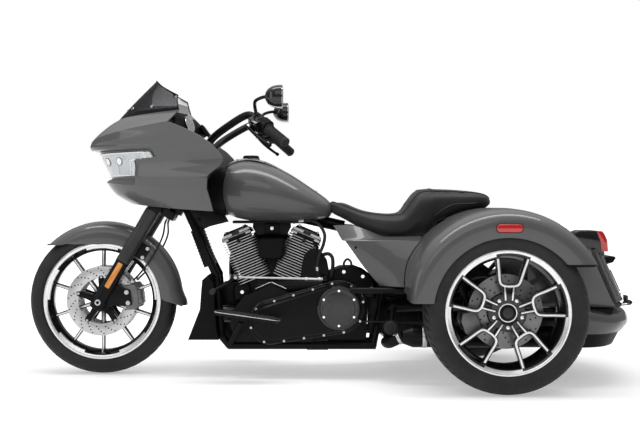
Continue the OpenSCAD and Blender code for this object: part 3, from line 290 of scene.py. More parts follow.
def piece(name, body, parts, stands=(), bevel=0.0, angle=38, segments=2):
    mats = list(dict.fromkeys(m for _, _, m in parts))
    mesh = newMesh(name, parts)
    for m in mats:
        mesh.materials.append(finish[m])
    mesh.polygons.foreach_set("material_index", [mats.index(m) for _, f, m in parts for _ in f])
    cleanMesh(mesh, True)
    obj = addObject(name, mesh)
    if bevel:
        addBevel(obj, bevel, segments)
    shade(obj.data, angle)
    return settle(obj, body, stands)


def dressed(node, material, bevel):  # the CAD node with smooth faces and soft edges
    mesh = cad[node].data.copy()
    cleanMesh(mesh, True, 0.4)
    mesh.materials.clear()
    mesh.materials.append(finish[material])
    obj = addObject(node + "Dressed", mesh)
    if bevel:
        addBevel(obj, bevel, 2, 40)
    shade(obj.data, 32)
    return settle(obj, bodyOf[node], [node])


# finishes
finish = {}


def addNode(tree, kind, inputs=None, **settings):  # a node with its settings, its values and the links into it
    node = tree.nodes.new(kind)
    for key, value in settings.items():
        setattr(node, key, value)
    for key, value in (inputs or {}).items():
        if isinstance(value, bpy.types.NodeSocket):
            tree.links.new(value, node.inputs[key])
        else:
            node.inputs[key].default_value = value
    return node


def newFinish(name, colour, rough, metal=0.0, **more):
    mat = bpy.data.materials.new(name)
    mat.use_nodes = True
    shader = mat.node_tree.nodes["Principled BSDF"]
    shader.inputs["Base Color"].default_value = (*colour, 1.0)
    shader.inputs["Roughness"].default_value = rough
    shader.inputs["Metallic"].default_value = metal
    for key, value in more.items():
        shader.inputs[key.replace("_", " ")].default_value = value
    finish[name] = mat
    return mat.node_tree, shader, np.array(colour)


def clearFinish(name, colour, rough, metal=0.0, **more):  # polished, glassy or lit: faint smears in tone and gloss
    tree, sh, c = newFinish(name, colour, rough, metal, **more)
    smear = noiseAt(tree, objectCoords(tree), 26.0, 3.0)
    vary(tree, sh, "Base Color", smear, c * 0.96, np.minimum(c * 1.02, 1))
    vary(tree, sh, "Roughness", smear, rough * 0.9, rough * 1.15)


def objectCoords(tree, centre=None):
    at = addNode(tree, "ShaderNodeTexCoord").outputs["Object"]
    if centre is None:
        return at
    back = [-c * 0.001 for c in centre]
    return addNode(tree, "ShaderNodeMapping", {"Vector": at, "Location": back}).outputs["Vector"]


def noiseAt(tree, coords, scale, detail=3.0, rough=0.55, stretch=None):
    if stretch:
        coords = addNode(tree, "ShaderNodeMapping", {"Vector": coords, "Scale": stretch}).outputs["Vector"]
    values = {"Vector": coords, "Scale": scale, "Detail": detail, "Roughness": rough}
    return addNode(tree, "ShaderNodeTexNoise", values).outputs["Fac"]


def ramp(tree, value, low, high, lowAt=0.3, highAt=0.7):  # low and high are colours or levels of grey
    r = addNode(tree, "ShaderNodeValToRGB", {"Fac": value})
    for stop, colour, at in zip(r.color_ramp.elements, (low, high), (lowAt, highAt)):
        stop.position, stop.color = at, (*np.broadcast_to(colour, 3), 1)
    return r.outputs["Color"]


def vary(tree, shader, socket, value, *stops):  # a socket that follows a pattern
    tree.links.new(ramp(tree, value, *stops), shader.inputs[socket])


def bumpFrom(tree, shader, heights, strength, distance):  # several heights stack into one bump
    under = {}
    for value in heights:
        b = addNode(tree, "ShaderNodeBump", {"Strength": strength, "Distance": distance, "Height": value, **under})
        under = {"Normal": b.outputs["Normal"]}
    tree.links.new(under["Normal"], shader.inputs["Normal"])


def axleRings(tree, at, scale, **more):  # fine rings round an axle along y
    values = {"Vector": at, "Scale": scale, **more}
    return addNode(tree, "ShaderNodeTexWave", values, wave_type="RINGS", rings_direction="Y").outputs["Fac"]


def paintFinish(name, colour, coat=1.0):  # sprayed paint: flakes, faint unevenness, orange peel under clear coat
    tree, sh, c = newFinish(name, colour, 0.36, 0.0, Coat_Weight=coat, Coat_Roughness=0.05, Specular_IOR_Level=0.3)
    at = objectCoords(tree)
    flake = addNode(tree, "ShaderNodeTexVoronoi", {"Vector": at, "Scale": 1500.0}).outputs["Distance"]
    mix = addNode(tree, "ShaderNodeMix", {"Factor": 0.22}, data_type="RGBA")
    vary(tree, mix, "A", noiseAt(tree, at, 7.0, 2.0), c * 0.95, c * 1.05)
    vary(tree, mix, "B", flake, c * 0.75, c * 1.45, 0.1, 0.8)
    tree.links.new(mix.outputs["Result"], sh.inputs["Base Color"])
    vary(tree, sh, "Roughness", noiseAt(tree, at, 40.0), 0.32, 0.4)
    bumpFrom(tree, sh, [noiseAt(tree, at, 260.0, 1.5)], 0.035, 0.0006)


def coatedFinish(name, colour, rough, grain, strength, metal=0.0, coat=0.0, shine=0.5):
    # powder coat, wrinkle paint and moulded plastic
    tree, sh, c = newFinish(name, colour, rough, metal, Coat_Weight=coat, Coat_Roughness=0.06,
                            Specular_IOR_Level=shine)
    at = objectCoords(tree)
    vary(tree, sh, "Base Color", noiseAt(tree, at, 14.0, 4.0), c * 0.8, c * 1.25)
    vary(tree, sh, "Roughness", noiseAt(tree, at, 60.0, 4.0), max(rough - 0.08, 0.02), rough + 0.08)
    bumpFrom(tree, sh, [noiseAt(tree, at, grain, 3.0)], strength, 0.0008)


def turnedFinish(name, colour, rough, centre, pitch, metal=1.0):  # lathe turned metal
    tree, sh, c = newFinish(name, colour, rough, metal)
    at = objectCoords(tree, centre)
    rings = axleRings(tree, at, pitch, Distortion=0.6, Detail=2.0)
    vary(tree, sh, "Base Color", noiseAt(tree, at, 30.0, 4.0), c * 0.9, np.minimum(c * 1.06, 1))
    vary(tree, sh, "Roughness", rings, rough - 0.06, rough + 0.1, 0.0, 1.0)
    bumpFrom(tree, sh, [rings], 0.12, 0.0002)


def rubberFinish(name, colour, rough, centre=None):  # moulded rubber, with faint mould rings round an axle
    tree, sh, c = newFinish(name, colour, rough, Specular_IOR_Level=0.3)
    at = objectCoords(tree, centre)
    vary(tree, sh, "Base Color", noiseAt(tree, at, 22.0, 5.0), c * 0.75, c * 1.35)
    vary(tree, sh, "Roughness", noiseAt(tree, at, 90.0, 3.0), rough - 0.1, rough + 0.08)
    heights = [noiseAt(tree, at, 900.0, 2.0)]
    if centre:
        heights.append(axleRings(tree, at, 55.0))
    bumpFrom(tree, sh, heights, 0.12, 0.0004)


def brushedFinish(name, colour, rough, stretch):  # straight brushed metal
    tree, sh, c = newFinish(name, colour, rough, 1.0)
    lines = noiseAt(tree, objectCoords(tree), 60.0, 4.0, 0.6, stretch)
    vary(tree, sh, "Base Color", lines, c * 0.86, np.minimum(c * 1.08, 1))
    vary(tree, sh, "Roughness", lines, rough - 0.07, rough + 0.1)
    bumpFrom(tree, sh, [lines], 0.06, 0.0002)


def leatherFinish(name, colour):  # seat cover: fine pebble grain with soft sheen
    tree, sh, c = newFinish(name, colour, 0.56, Sheen_Weight=0.05, Sheen_Roughness=0.5, Specular_IOR_Level=0.32)
    at = objectCoords(tree)
    grain = {"Vector": at, "Scale": 620.0}
    cells = addNode(tree, "ShaderNodeTexVoronoi", grain, feature="DISTANCE_TO_EDGE").outputs["Distance"]
    vary(tree, sh, "Base Color", noiseAt(tree, at, 9.0, 4.0), c * 0.8, c * 1.3)
    vary(tree, sh, "Roughness", cells, 0.66, 0.48, 0.0, 0.25)
    bumpFrom(tree, sh, [cells, noiseAt(tree, at, 1500.0, 2.0)], 0.16, 0.0006)


paintFinish("bodyPaint", (0.067, 0.067, 0.068), 0.5)
coatedFinish("glossBlack", (0.006, 0.006, 0.0065), 0.16, 500.0, 0.02, coat=0.35, shine=0.35)
coatedFinish("satinBlack", (0.0036, 0.0036, 0.004), 0.36, 700.0, 0.05, shine=0.13)
coatedFinish("wrinkleBlack", (0.005, 0.005, 0.0055), 0.46, 1400.0, 0.22, shine=0.14)
coatedFinish("charcoal", (0.026, 0.026, 0.027), 0.42, 800.0, 0.05, metal=0.2, shine=0.35)
coatedFinish("mouldedBlack", (0.0036, 0.0036, 0.004), 0.5, 1100.0, 0.16, shine=0.1)
coatedFinish("castGrey", (0.17, 0.17, 0.175), 0.44, 900.0, 0.14, metal=0.7)
coatedFinish("finEdge", (0.5, 0.5, 0.505), 0.34, 300.0, 0.05, metal=0.45)
brushedFinish("steel", (0.62, 0.62, 0.62), 0.28, (1.0, 9.0, 1.0))
brushedFinish("zinc", (0.55, 0.55, 0.54), 0.3, (6.0, 1.0, 1.0))
clearFinish("chrome", (0.82, 0.82, 0.83), 0.07, 1.0)
frontCentre = (trike["frontX"], 0, trike["frontZ"])
rearCentre = (trike["rearX"], 0, trike["rearZ"])
turnedFinish("frontMachined", (0.78, 0.78, 0.785), 0.26, frontCentre, 320.0)
turnedFinish("rearMachined", (0.78, 0.78, 0.785), 0.26, rearCentre, 320.0)
turnedFinish("frontDiscSteel", (0.56, 0.56, 0.56), 0.34, frontCentre, 240.0)
# rear discs: the same turned steel as the front discs, with the base colour darkened to 0.2 as painted shade for
# their place inside the rear wheels
turnedFinish("rearDiscShadedSteel", (0.2, 0.2, 0.2), 0.36, rearCentre, 240.0)
rubberFinish("frontRubber", (0.013, 0.013, 0.0135), 0.62, frontCentre)
rubberFinish("rearRubber", (0.013, 0.013, 0.0135), 0.62, rearCentre)
rubberFinish("softRubber", (0.016, 0.016, 0.016), 0.66)
leatherFinish("seatCover", (0.0145, 0.0145, 0.0153))
clearFinish("smokeScreen", (0.88, 0.88, 0.89), 0.0, 0.0, Transmission_Weight=1.0, IOR=1.08)
# the smoke is in the sheet, so it darkens where the sheet is seen edge on
smoke = finish["smokeScreen"].node_tree
tint = addNode(smoke, "ShaderNodeVolumeAbsorption", {"Color": (0.2, 0.2, 0.21, 1), "Density": 290.0})
smoke.links.new(tint.outputs[0], next(n for n in smoke.nodes if n.type == "OUTPUT_MATERIAL").inputs["Volume"])
clearFinish("clearLens", (0.96, 0.97, 0.98), 0.02, 0.0, Transmission_Weight=1.0, IOR=1.12)
clearFinish("lampSilver", (0.6, 0.605, 0.61), 0.3, 0.5)
clearFinish("lampGlow", (0.8, 0.8, 0.79), 0.3, 0.0, Emission_Color=(1.0, 0.98, 0.94, 1.0), Emission_Strength=0.12)
clearFinish("redLens", (0.46, 0.004, 0.006), 0.12, 0.0, Coat_Weight=0.8, Coat_Roughness=0.03)
clearFinish("amberLens", (0.62, 0.215, 0.015), 0.2, 0.0, Coat_Weight=0.8, Coat_Roughness=0.03)
clearFinish("mirrorGlass", (0.9, 0.9, 0.92), 0.015, 1.0)
print("finishes:", len(finish))

# camera, light and floor
shot = {"at": (-0.033, -5.184, 0.735), "focal": 66.43, "shiftY": -0.0125}
camera = addObject("camera", bpy.data.cameras.new("camera"))
camera.data.lens, camera.data.sensor_width, camera.data.shift_y = shot["focal"], 36.0, shot["shiftY"]
camera.location, camera.rotation_euler = shot["at"], (math.pi / 2, 0, 0)
scene.camera = camera
scene.view_settings.view_transform = "Standard"

# lamps: name, place, target, size, watts
studio = {"horizon": 0.16, "ceiling": 0.85, "floorHalf": 40.0, "floorZ": -0.0005, "lamps": [
    ("overhead", (0.0, -0.5, 4.2), (0.0, 0.0, 0.4), (5.4, 1.1), 148.0),
    ("leftBank", (-1.2, -5.2, 2.9), (0.0, 0.0, 0.6), (4.5, 2.0), 38.0),
    ("rightBank", (0.6, 5.0, 2.6), (0.0, 0.0, 0.6), (4.5, 2.0), 54.0),
    ("frontFill", (-4.6, -1.6, 1.8), (-0.4, 0.0, 0.6), (2.0, 2.0), 22.0),
]}
for name, place, target, size, watts in studio["lamps"]:
    lamp = bpy.data.lights.new(name, "AREA")
    lamp.shape, lamp.size, lamp.size_y, lamp.energy = "RECTANGLE", size[0], size[1], watts
    holder = addObject(name, lamp)
    holder.location = place
    holder.rotation_euler = (Vector(target) - Vector(place)).to_track_quat("-Z", "Y").to_euler()
    holder.visible_glossy = name != "rightBank"

world = bpy.data.worlds.new("studio")
scene.world = world
world.use_nodes = True
wt = world.node_tree
wt.nodes.clear()
ray = addNode(wt, "ShaderNodeLightPath").outputs
look = addNode(wt, "ShaderNodeTexCoord").outputs["Generated"]
up = addNode(wt, "ShaderNodeSeparateXYZ", {0: look}).outputs["Z"]
levels = {"Value": up, "From Min": 0.12, "From Max": 0.75, "To Min": studio["horizon"], "To Max": studio["ceiling"]}
ceiling = addNode(wt, "ShaderNodeMapRange", levels, interpolation_type="SMOOTHSTEP")
# rays straight from the view or through glass see plain white
rays = {0: ray["Is Camera Ray"], 1: ray["Is Transmission Ray"]}
seen = addNode(wt, "ShaderNodeMath", rays, operation="ADD", use_clamp=True)
level = addNode(wt, "ShaderNodeMix", {"Factor": seen.outputs[0], "A": ceiling.outputs["Result"], "B": 1.0})
sky = addNode(wt, "ShaderNodeBackground", {"Color": (1, 1, 1, 1), "Strength": level.outputs["Result"]})
addNode(wt, "ShaderNodeOutputWorld", {"Surface": sky.outputs[0]})

floorMat = bpy.data.materials.new("paleFloor")
floorMat.use_nodes = True
ft = floorMat.node_tree
ft.nodes.clear()
spot = addNode(ft, "ShaderNodeTexCoord").outputs["Object"]
depth = addNode(ft, "ShaderNodeSeparateXYZ", {0: spot}).outputs["Y"]
away = addNode(ft, "ShaderNodeMath", {0: depth}, operation="ABSOLUTE").outputs[0]
levels = {"Value": away, "From Min": 0.8, "From Max": 3.6, "To Min": 1.05, "To Max": 2.3}
reach = addNode(ft, "ShaderNodeMapRange", levels).outputs["Result"]
matte = addNode(ft, "ShaderNodeBsdfDiffuse", {"Color": (0.93, 0.93, 0.93, 1)}).outputs[0]
glow = addNode(ft, "ShaderNodeEmission", {"Color": (1, 1, 1, 1), "Strength": reach}).outputs[0]
blend = addNode(ft, "ShaderNodeMixShader", {"Fac": 0.4, 1: matte, 2: glow})
addNode(ft, "ShaderNodeOutputMaterial", {"Surface": blend.outputs[0]})
half, low = studio["floorHalf"], studio["floorZ"]
floorMesh = bpy.data.meshes.new("floor")
floorMesh.from_pydata([(x * half, y * half, low) for x, y in ((-1, -1), (1, -1), (1, 1), (-1, 1))], [],
                      [(0, 1, 2, 3)])
floorMesh.materials.append(floorMat)
floor = addObject("floor", floorMesh)
print("stage set")

# repeated shapes: small node trees, each ending in plain mesh with its finish
def startTree(name, inputs):
    tree = bpy.data.node_groups.new(name, "GeometryNodeTree")
    tree.interface.new_socket("Geometry", in_out="INPUT", socket_type="NodeSocketGeometry")
    for label, kind, value in inputs:
        tree.interface.new_socket(label, in_out="INPUT", socket_type="NodeSocket" + kind).default_value = value
    tree.interface.new_socket("Surface", in_out="INPUT", socket_type="NodeSocketMaterial")
    tree.interface.new_socket("Geometry", in_out="OUTPUT", socket_type="NodeSocketGeometry")
    return tree, addNode(tree, "NodeGroupInput").outputs


def endTree(tree, given, points, shape, turn=None):  # the shape at each point, as plain mesh with its finish
    aim = {} if turn is None else {"Rotation": turn}
    inst = addNode(tree, "GeometryNodeInstanceOnPoints", {"Points": points, "Instance": shape, **aim})
    real = addNode(tree, "GeometryNodeRealizeInstances", {"Geometry": inst.outputs[0]})
    paint = addNode(tree, "GeometryNodeSetMaterial", {"Geometry": real.outputs[0], "Material": given["Surface"]})
    addNode(tree, "NodeGroupOutput", {"Geometry": paint.outputs[0]})
    return tree


def aimTree(tree, axis):  # turns local z along an axis
    return addNode(tree, "FunctionNodeAlignRotationToVector", {"Vector": axis}, axis="Z").outputs[0]


def mathNode(tree, operation, *values):
    return addNode(tree, "ShaderNodeMath", dict(enumerate(values)), operation=operation).outputs[0]


def ringTree():  # copies of a shape turned round local z
    tree, given = startTree("ringOfCopies", [("Count", "Int", 12), ("Start", "Float", 0.0)])
    line = addNode(tree, "GeometryNodeMeshLine", {"Offset": (0, 0, 0), "Count": given["Count"]})
    step = mathNode(tree, "DIVIDE", 2 * math.pi, given["Count"])
    index = addNode(tree, "GeometryNodeInputIndex").outputs[0]
    xyz = addNode(tree, "ShaderNodeCombineXYZ", {"Z": mathNode(tree, "MULTIPLY_ADD", index, step, given["Start"])})
    turn = addNode(tree, "FunctionNodeEulerToRotation", {0: xyz.outputs[0]})
    return endTree(tree, given, line.outputs[0], given["Geometry"], turn.outputs[0])


def rowTree():  # copies of a shape in a straight row
    tree, given = startTree("rowOfCopies", [("Count", "Int", 5), ("Step", "Vector", (0, 0, 0.01))])
    line = addNode(tree, "GeometryNodeMeshLine", {"Count": given["Count"], "Offset": given["Step"]})
    return endTree(tree, given, line.outputs[0], given["Geometry"])


def screwTree():  # a hexagon head on a washer at each point, along the point's axis
    tree, given = startTree("screwHeads", [("Radius", "Float", 0.005), ("Height", "Float", 0.004)])
    join = addNode(tree, "GeometryNodeJoinGeometry")
    for sides, grow, tall in ((6, 1.0, 1.0), (18, 1.35, 0.3)):
        size = {"Vertices": sides, "Radius": mathNode(tree, "MULTIPLY", given["Radius"], grow),
                "Depth": mathNode(tree, "MULTIPLY", given["Height"], 2 * tall)}
        tree.links.new(addNode(tree, "GeometryNodeMeshCylinder", size).outputs["Mesh"], join.inputs["Geometry"])
    axis = addNode(tree, "GeometryNodeInputNamedAttribute", {"Name": "axis"}, data_type="FLOAT_VECTOR")
    turn = aimTree(tree, axis.outputs["Attribute"])
    return endTree(tree, given, given["Geometry"], join.outputs[0], turn)


def stitchTree():  # short thread loops laid along a line
    tree, given = startTree("stitchRow", [("Length", "Float", 0.006), ("Gap", "Float", 0.009),
                                          ("Thread", "Float", 0.0007)])
    curve = addNode(tree, "GeometryNodeMeshToCurve", {"Mesh": given["Geometry"]})
    spread = {"Curve": curve.outputs[0], "Length": given["Gap"]}
    points = addNode(tree, "GeometryNodeCurveToPoints", spread, mode="LENGTH").outputs
    size = {"Vertices": 6, "Radius": given["Thread"], "Depth": given["Length"]}
    thread = addNode(tree, "GeometryNodeMeshCylinder", size)
    return endTree(tree, given, points["Points"], thread.outputs["Mesh"], aimTree(tree, points["Tangent"]))


trees = {"ring": ringTree(), "row": rowTree(), "screw": screwTree(), "stitch": stitchTree()}


def runTree(obj, tree, material, values):
    mod = obj.modifiers.new("repeat", "NODES")
    mod.node_group = trees[tree]
    for item in trees[tree].interface.items_tree:
        if item.in_out == "INPUT" and item.name in values:
            mod[item.identifier] = values[item.name]
        elif item.in_out == "INPUT" and item.name == "Surface":
            mod[item.identifier] = finish[material]
    bake(obj)


def repeated(name, body, parts, tree, values, material, place):
    obj = addObject(name, newMesh(name, parts))
    runTree(obj, tree, material, values)
    mesh = obj.data
    mesh.vertices.foreach_set("co", (place(readPoints(mesh) * 1000) * 0.001).ravel())
    cleanMesh(mesh)
    shade(mesh, 38)
    return settle(obj, body, ())


def screws(name, body, spots, radius, height, material):  # spots: (point in mm, outward axis)
    mesh = bpy.data.meshes.new(name)
    mesh.from_pydata([tuple(np.asarray(p, float) * 0.001) for p, a in spots], [], [])
    axes = mesh.attributes.new("axis", "FLOAT_VECTOR", "POINT")
    axes.data.foreach_set("vector", np.array([np.asarray(a, float) / np.linalg.norm(a) for p, a in spots]).ravel())
    obj = addObject(name, mesh)
    runTree(obj, "screw", material, {"Radius": radius * 0.001, "Height": height * 0.001})
    shade(obj.data, 30)
    return settle(obj, body, ())


def barOutline(a, b, wa, wb):  # tapered flat bar between two points of a plane
    a, b = np.asarray(a, float), np.asarray(b, float)
    n = np.array([a[1] - b[1], b[0] - a[0]])
    n /= np.linalg.norm(n)
    return np.array([a - n * wa / 2, b - n * wb / 2, b + n * wb / 2, a + n * wa / 2])


def ribbonPart(path, width, low, high, material, place):  # flat strip along a plane path
    p = np.asarray(path, float)
    t = np.gradient(p, axis=0)
    t /= np.linalg.norm(t, axis=1, keepdims=True)
    n = np.stack([-t[:, 1], t[:, 0]], 1) * width / 2
    outline = np.concatenate([p - n, (p + n)[::-1]])
    m = len(p)
    rings = [np.column_stack([outline, np.full(2 * m, z)]) for z in (low, high)]
    verts = np.concatenate(rings)
    faces = []
    for k in range(m - 1):
        a, b, c, d = k, k + 1, 2 * m - 2 - k, 2 * m - 1 - k
        faces += [(d, c, b, a), tuple(2 * m + q for q in (a, b, c, d))]
    faces += [(k, (k + 1) % (2 * m), 2 * m + (k + 1) % (2 * m), 2 * m + k) for k in range(2 * m)]
    return place(verts), faces, material


def rimOutline(d, w):
    r = d / 2
    return [(r, w / 2), (r - 6, w / 2 + 1), (r - 20, w / 2 - 4), (r - 26, w / 2 - 24), (r - 38, w * 0.18),
            (r - 38, -w * 0.18), (r - 26, 24 - w / 2), (r - 20, 4 - w / 2), (r - 6, -w / 2 - 1), (r, -w / 2),
            (r - 12, 8 - w / 2), (r - 19, 30 - w / 2), (r - 30, -w * 0.16), (r - 30, w * 0.16), (r - 19, w / 2 - 30),
            (r - 12, w / 2 - 8)]


def lipOutline(d, w, side, inner):  # machined band on a rim's flange
    r = d / 2
    return [(r + 0.3, side * (w / 2 - 4)), (r + 0.3, side * (w / 2 + 0.8)), (r - 5, side * (w / 2 + 2.2)),
            (inner, side * (w / 2 + 0.6)), (inner - 1.5, side * (w / 2 - 1)), (inner - 1.5, side * (w / 2 - 12)),
            (r - 6, side * (w / 2 - 6))]


def tyrePart(shape, material, place):  # shape: half section (half width, radius) from crown to bead, smoothed
    half = smoothRows(shape, 30)
    outer = [(r, z) for z, r in half]
    outline = outer + [(r, -z) for z, r in half[::-1][:-1]]
    return revolvePart(outline, material, place, 128)


def treadBlock(shape, zFrom, zTo, halfAngle, slant, depth, steps=6):  # one block of tread on a crown
    rows = np.array(shape)
    rows = rows[:int(rows[:, 0].argmax()) + 1]
    grid = []
    for i in range(steps + 1):
        z = lerp(zFrom, zTo, i / steps)
        r = np.interp(abs(z), rows[:, 0], rows[:, 1])
        grid.append([[*polar(r, slant * i / steps + s * halfAngle), z] for s in (-1, -0.33, 0.33, 1)])
    g = np.array(grid)
    low = g.copy()
    low[:, :, :2] *= 1 - depth / 300.0
    m, n = g.shape[:2]
    verts = np.concatenate([g.reshape(-1, 3), low.reshape(-1, 3)])
    top = [(i * n + j, i * n + j + 1, (i + 1) * n + j + 1, (i + 1) * n + j) for i in range(m - 1)
           for j in range(n - 1)]
    return verts, top + rimFaces(m, n), None


# front wheel
frontWheel = {"rimD": 508.0, "rimW": 101.6, "spokes": 10, "spokeIn": 19.0, "spokeOut": 12.5, "discR": 150.0,
              "discY": 68.0, "tread": 40,
              "crown": [(0, 319.5), (14, 318.4), (28, 315.2), (42, 309.6), (53, 301.5), (61, 291), (65, 279),
                        (63.6, 267.5), (58, 259.5), (50.4, 254.6), (46, 249), (41, 241), (28, 236)]}


def buildFrontWheel(w):
    place = axlePlace(trike["frontX"], 0, trike["frontZ"])
    carcass = [(z, r - (2.4 if z < 50 else 0)) for z, r in w["crown"]]
    piece("frontTyre", "front_wheel", [tyrePart(carcass, "frontRubber", place)], ["front_tyre"], angle=50)
    blocks = [treadBlock(w["crown"], s * 7, s * 52, 3.2, -9.0, 6) for s in (-1, 1)]
    repeated("frontTread", "front_wheel", blocks, "ring", {"Count": w["tread"]}, "frontRubber", place)
    d, rw = w["rimD"], w["rimW"]
    parts = [revolvePart(rimOutline(d, rw), "glossBlack", place, 128)]
    parts.append(revolvePart([(12.8, -58), (30, -58), (34, -54), (34, -24), (44, -19), (44, 19), (34, 24), (34, 54),
                              (30, 58), (12.8, 58)],
                             "glossBlack", place, 64))
    for k in range(w["spokes"]):  # a black blade with a machined face on each side
        turn = 90 + 360 / w["spokes"] * k
        at = turned(place, turn)
        for z0, z1, grow, m in ((-16, 16, 1.0, "glossBlack"), (15.6, 18, 0.5, "frontMachined"),
                                (-18, -15.6, 0.5, "frontMachined")):
            parts.append(extrudePart(barOutline((36, 0), (224, 0), w["spokeIn"] * grow, w["spokeOut"] * grow), z0, z1,
                                     m, at))
    piece("frontRim", "front_wheel", parts, ["front_rim"], bevel=0.7, angle=34)
    bands = [revolvePart(lipOutline(d, rw, s, 238), "frontMachined", place, 160) for s in (-1, 1)]
    for k in range(0, w["spokes"], 2):  # the band is wider where every second spoke meets it
        for side in (-1, 1):
            z = side * rw / 2
            bands.append(revolvePart([(240, z - side * 8), (240, z + side * 0.4), (229, z - side * 3),
                                      (227, z - side * 12)], "frontMachined", place, 14, 73 + 36 * k, 34))
    piece("frontBand", "front_wheel", bands, (), angle=50)
    disc = []
    for side in (-1, 1):
        y = side * w["discY"]
        disc.append(revolvePart([(w["discR"], y - 2.5), (w["discR"], y + 2.5), (99, y + 2.5), (99, y - 2.5)],
                                "frontDiscSteel", place, 128))
        for k in range(5):  # black carrier arms and their bobbins
            at = turned(place, 18 + 72 * k, y)
            disc.append(extrudePart([(30, -17), (70, -11), (96, -13), (108, -9), (112, 0), (108, 9), (96, 13),
                                     (70, 11), (30, 17)], -3.2, 3.2, "satinBlack", at))
            disc.append(extrudePart(circlePoints(5.5, 16, (104, 0)), -4.4, 4.4, "zinc", at))
        disc.append(revolvePart([(27, y - 8 * side), (46, y - 8 * side), (46, y + 3.4 * side), (38, y + 5 * side),
                                 (27, y + 5 * side)], "satinBlack", place, 48))
    piece("frontDiscs", "front_wheel", disc, ["front_discs"], bevel=0.4, angle=30)
    holes = []
    for k, r in enumerate((112, 122, 132, 142)):
        for side in (-1, 1):
            y = side * w["discY"]
            holes.append(extrudePart(circlePoints(3.2, 10, polar(r, k * 5.0)), y - 2.62, y + 2.62, "satinBlack",
                                     same))
    repeated("frontDiscDrilling", "front_wheel", holes, "ring", {"Count": 18}, "satinBlack", place)
    valve = rodPart(place(np.array([[0, -238.0, 30]]))[0], place(np.array([[0, -214.0, 36]]))[0], 3.5, "zinc", 12)
    piece("frontValve", "front_wheel", [valve], ())
    print("front wheel")


buildFrontWheel(frontWheel)

# rear wheels
rearWheel = {"rimD": 486.0, "rimW": 180.6, "spokes": 5, "web": 17.0, "strip": 8.5, "discR": 146.0, "tread": 60,
             "fork": [(219, 40), (168, 35), (124, 31), (108, 21), (103, 2), (103, -20), (106, -36), (119, -47),
                      (166, -63), (219, -82)],
             "crown": [(0, 320), (30, 319.4), (60, 317.8), (80, 315), (94, 309), (103, 297), (107.3, 283), (106, 267),
                       (99, 253), (92, 246), (86, 240), (82, 232), (60, 226)]}


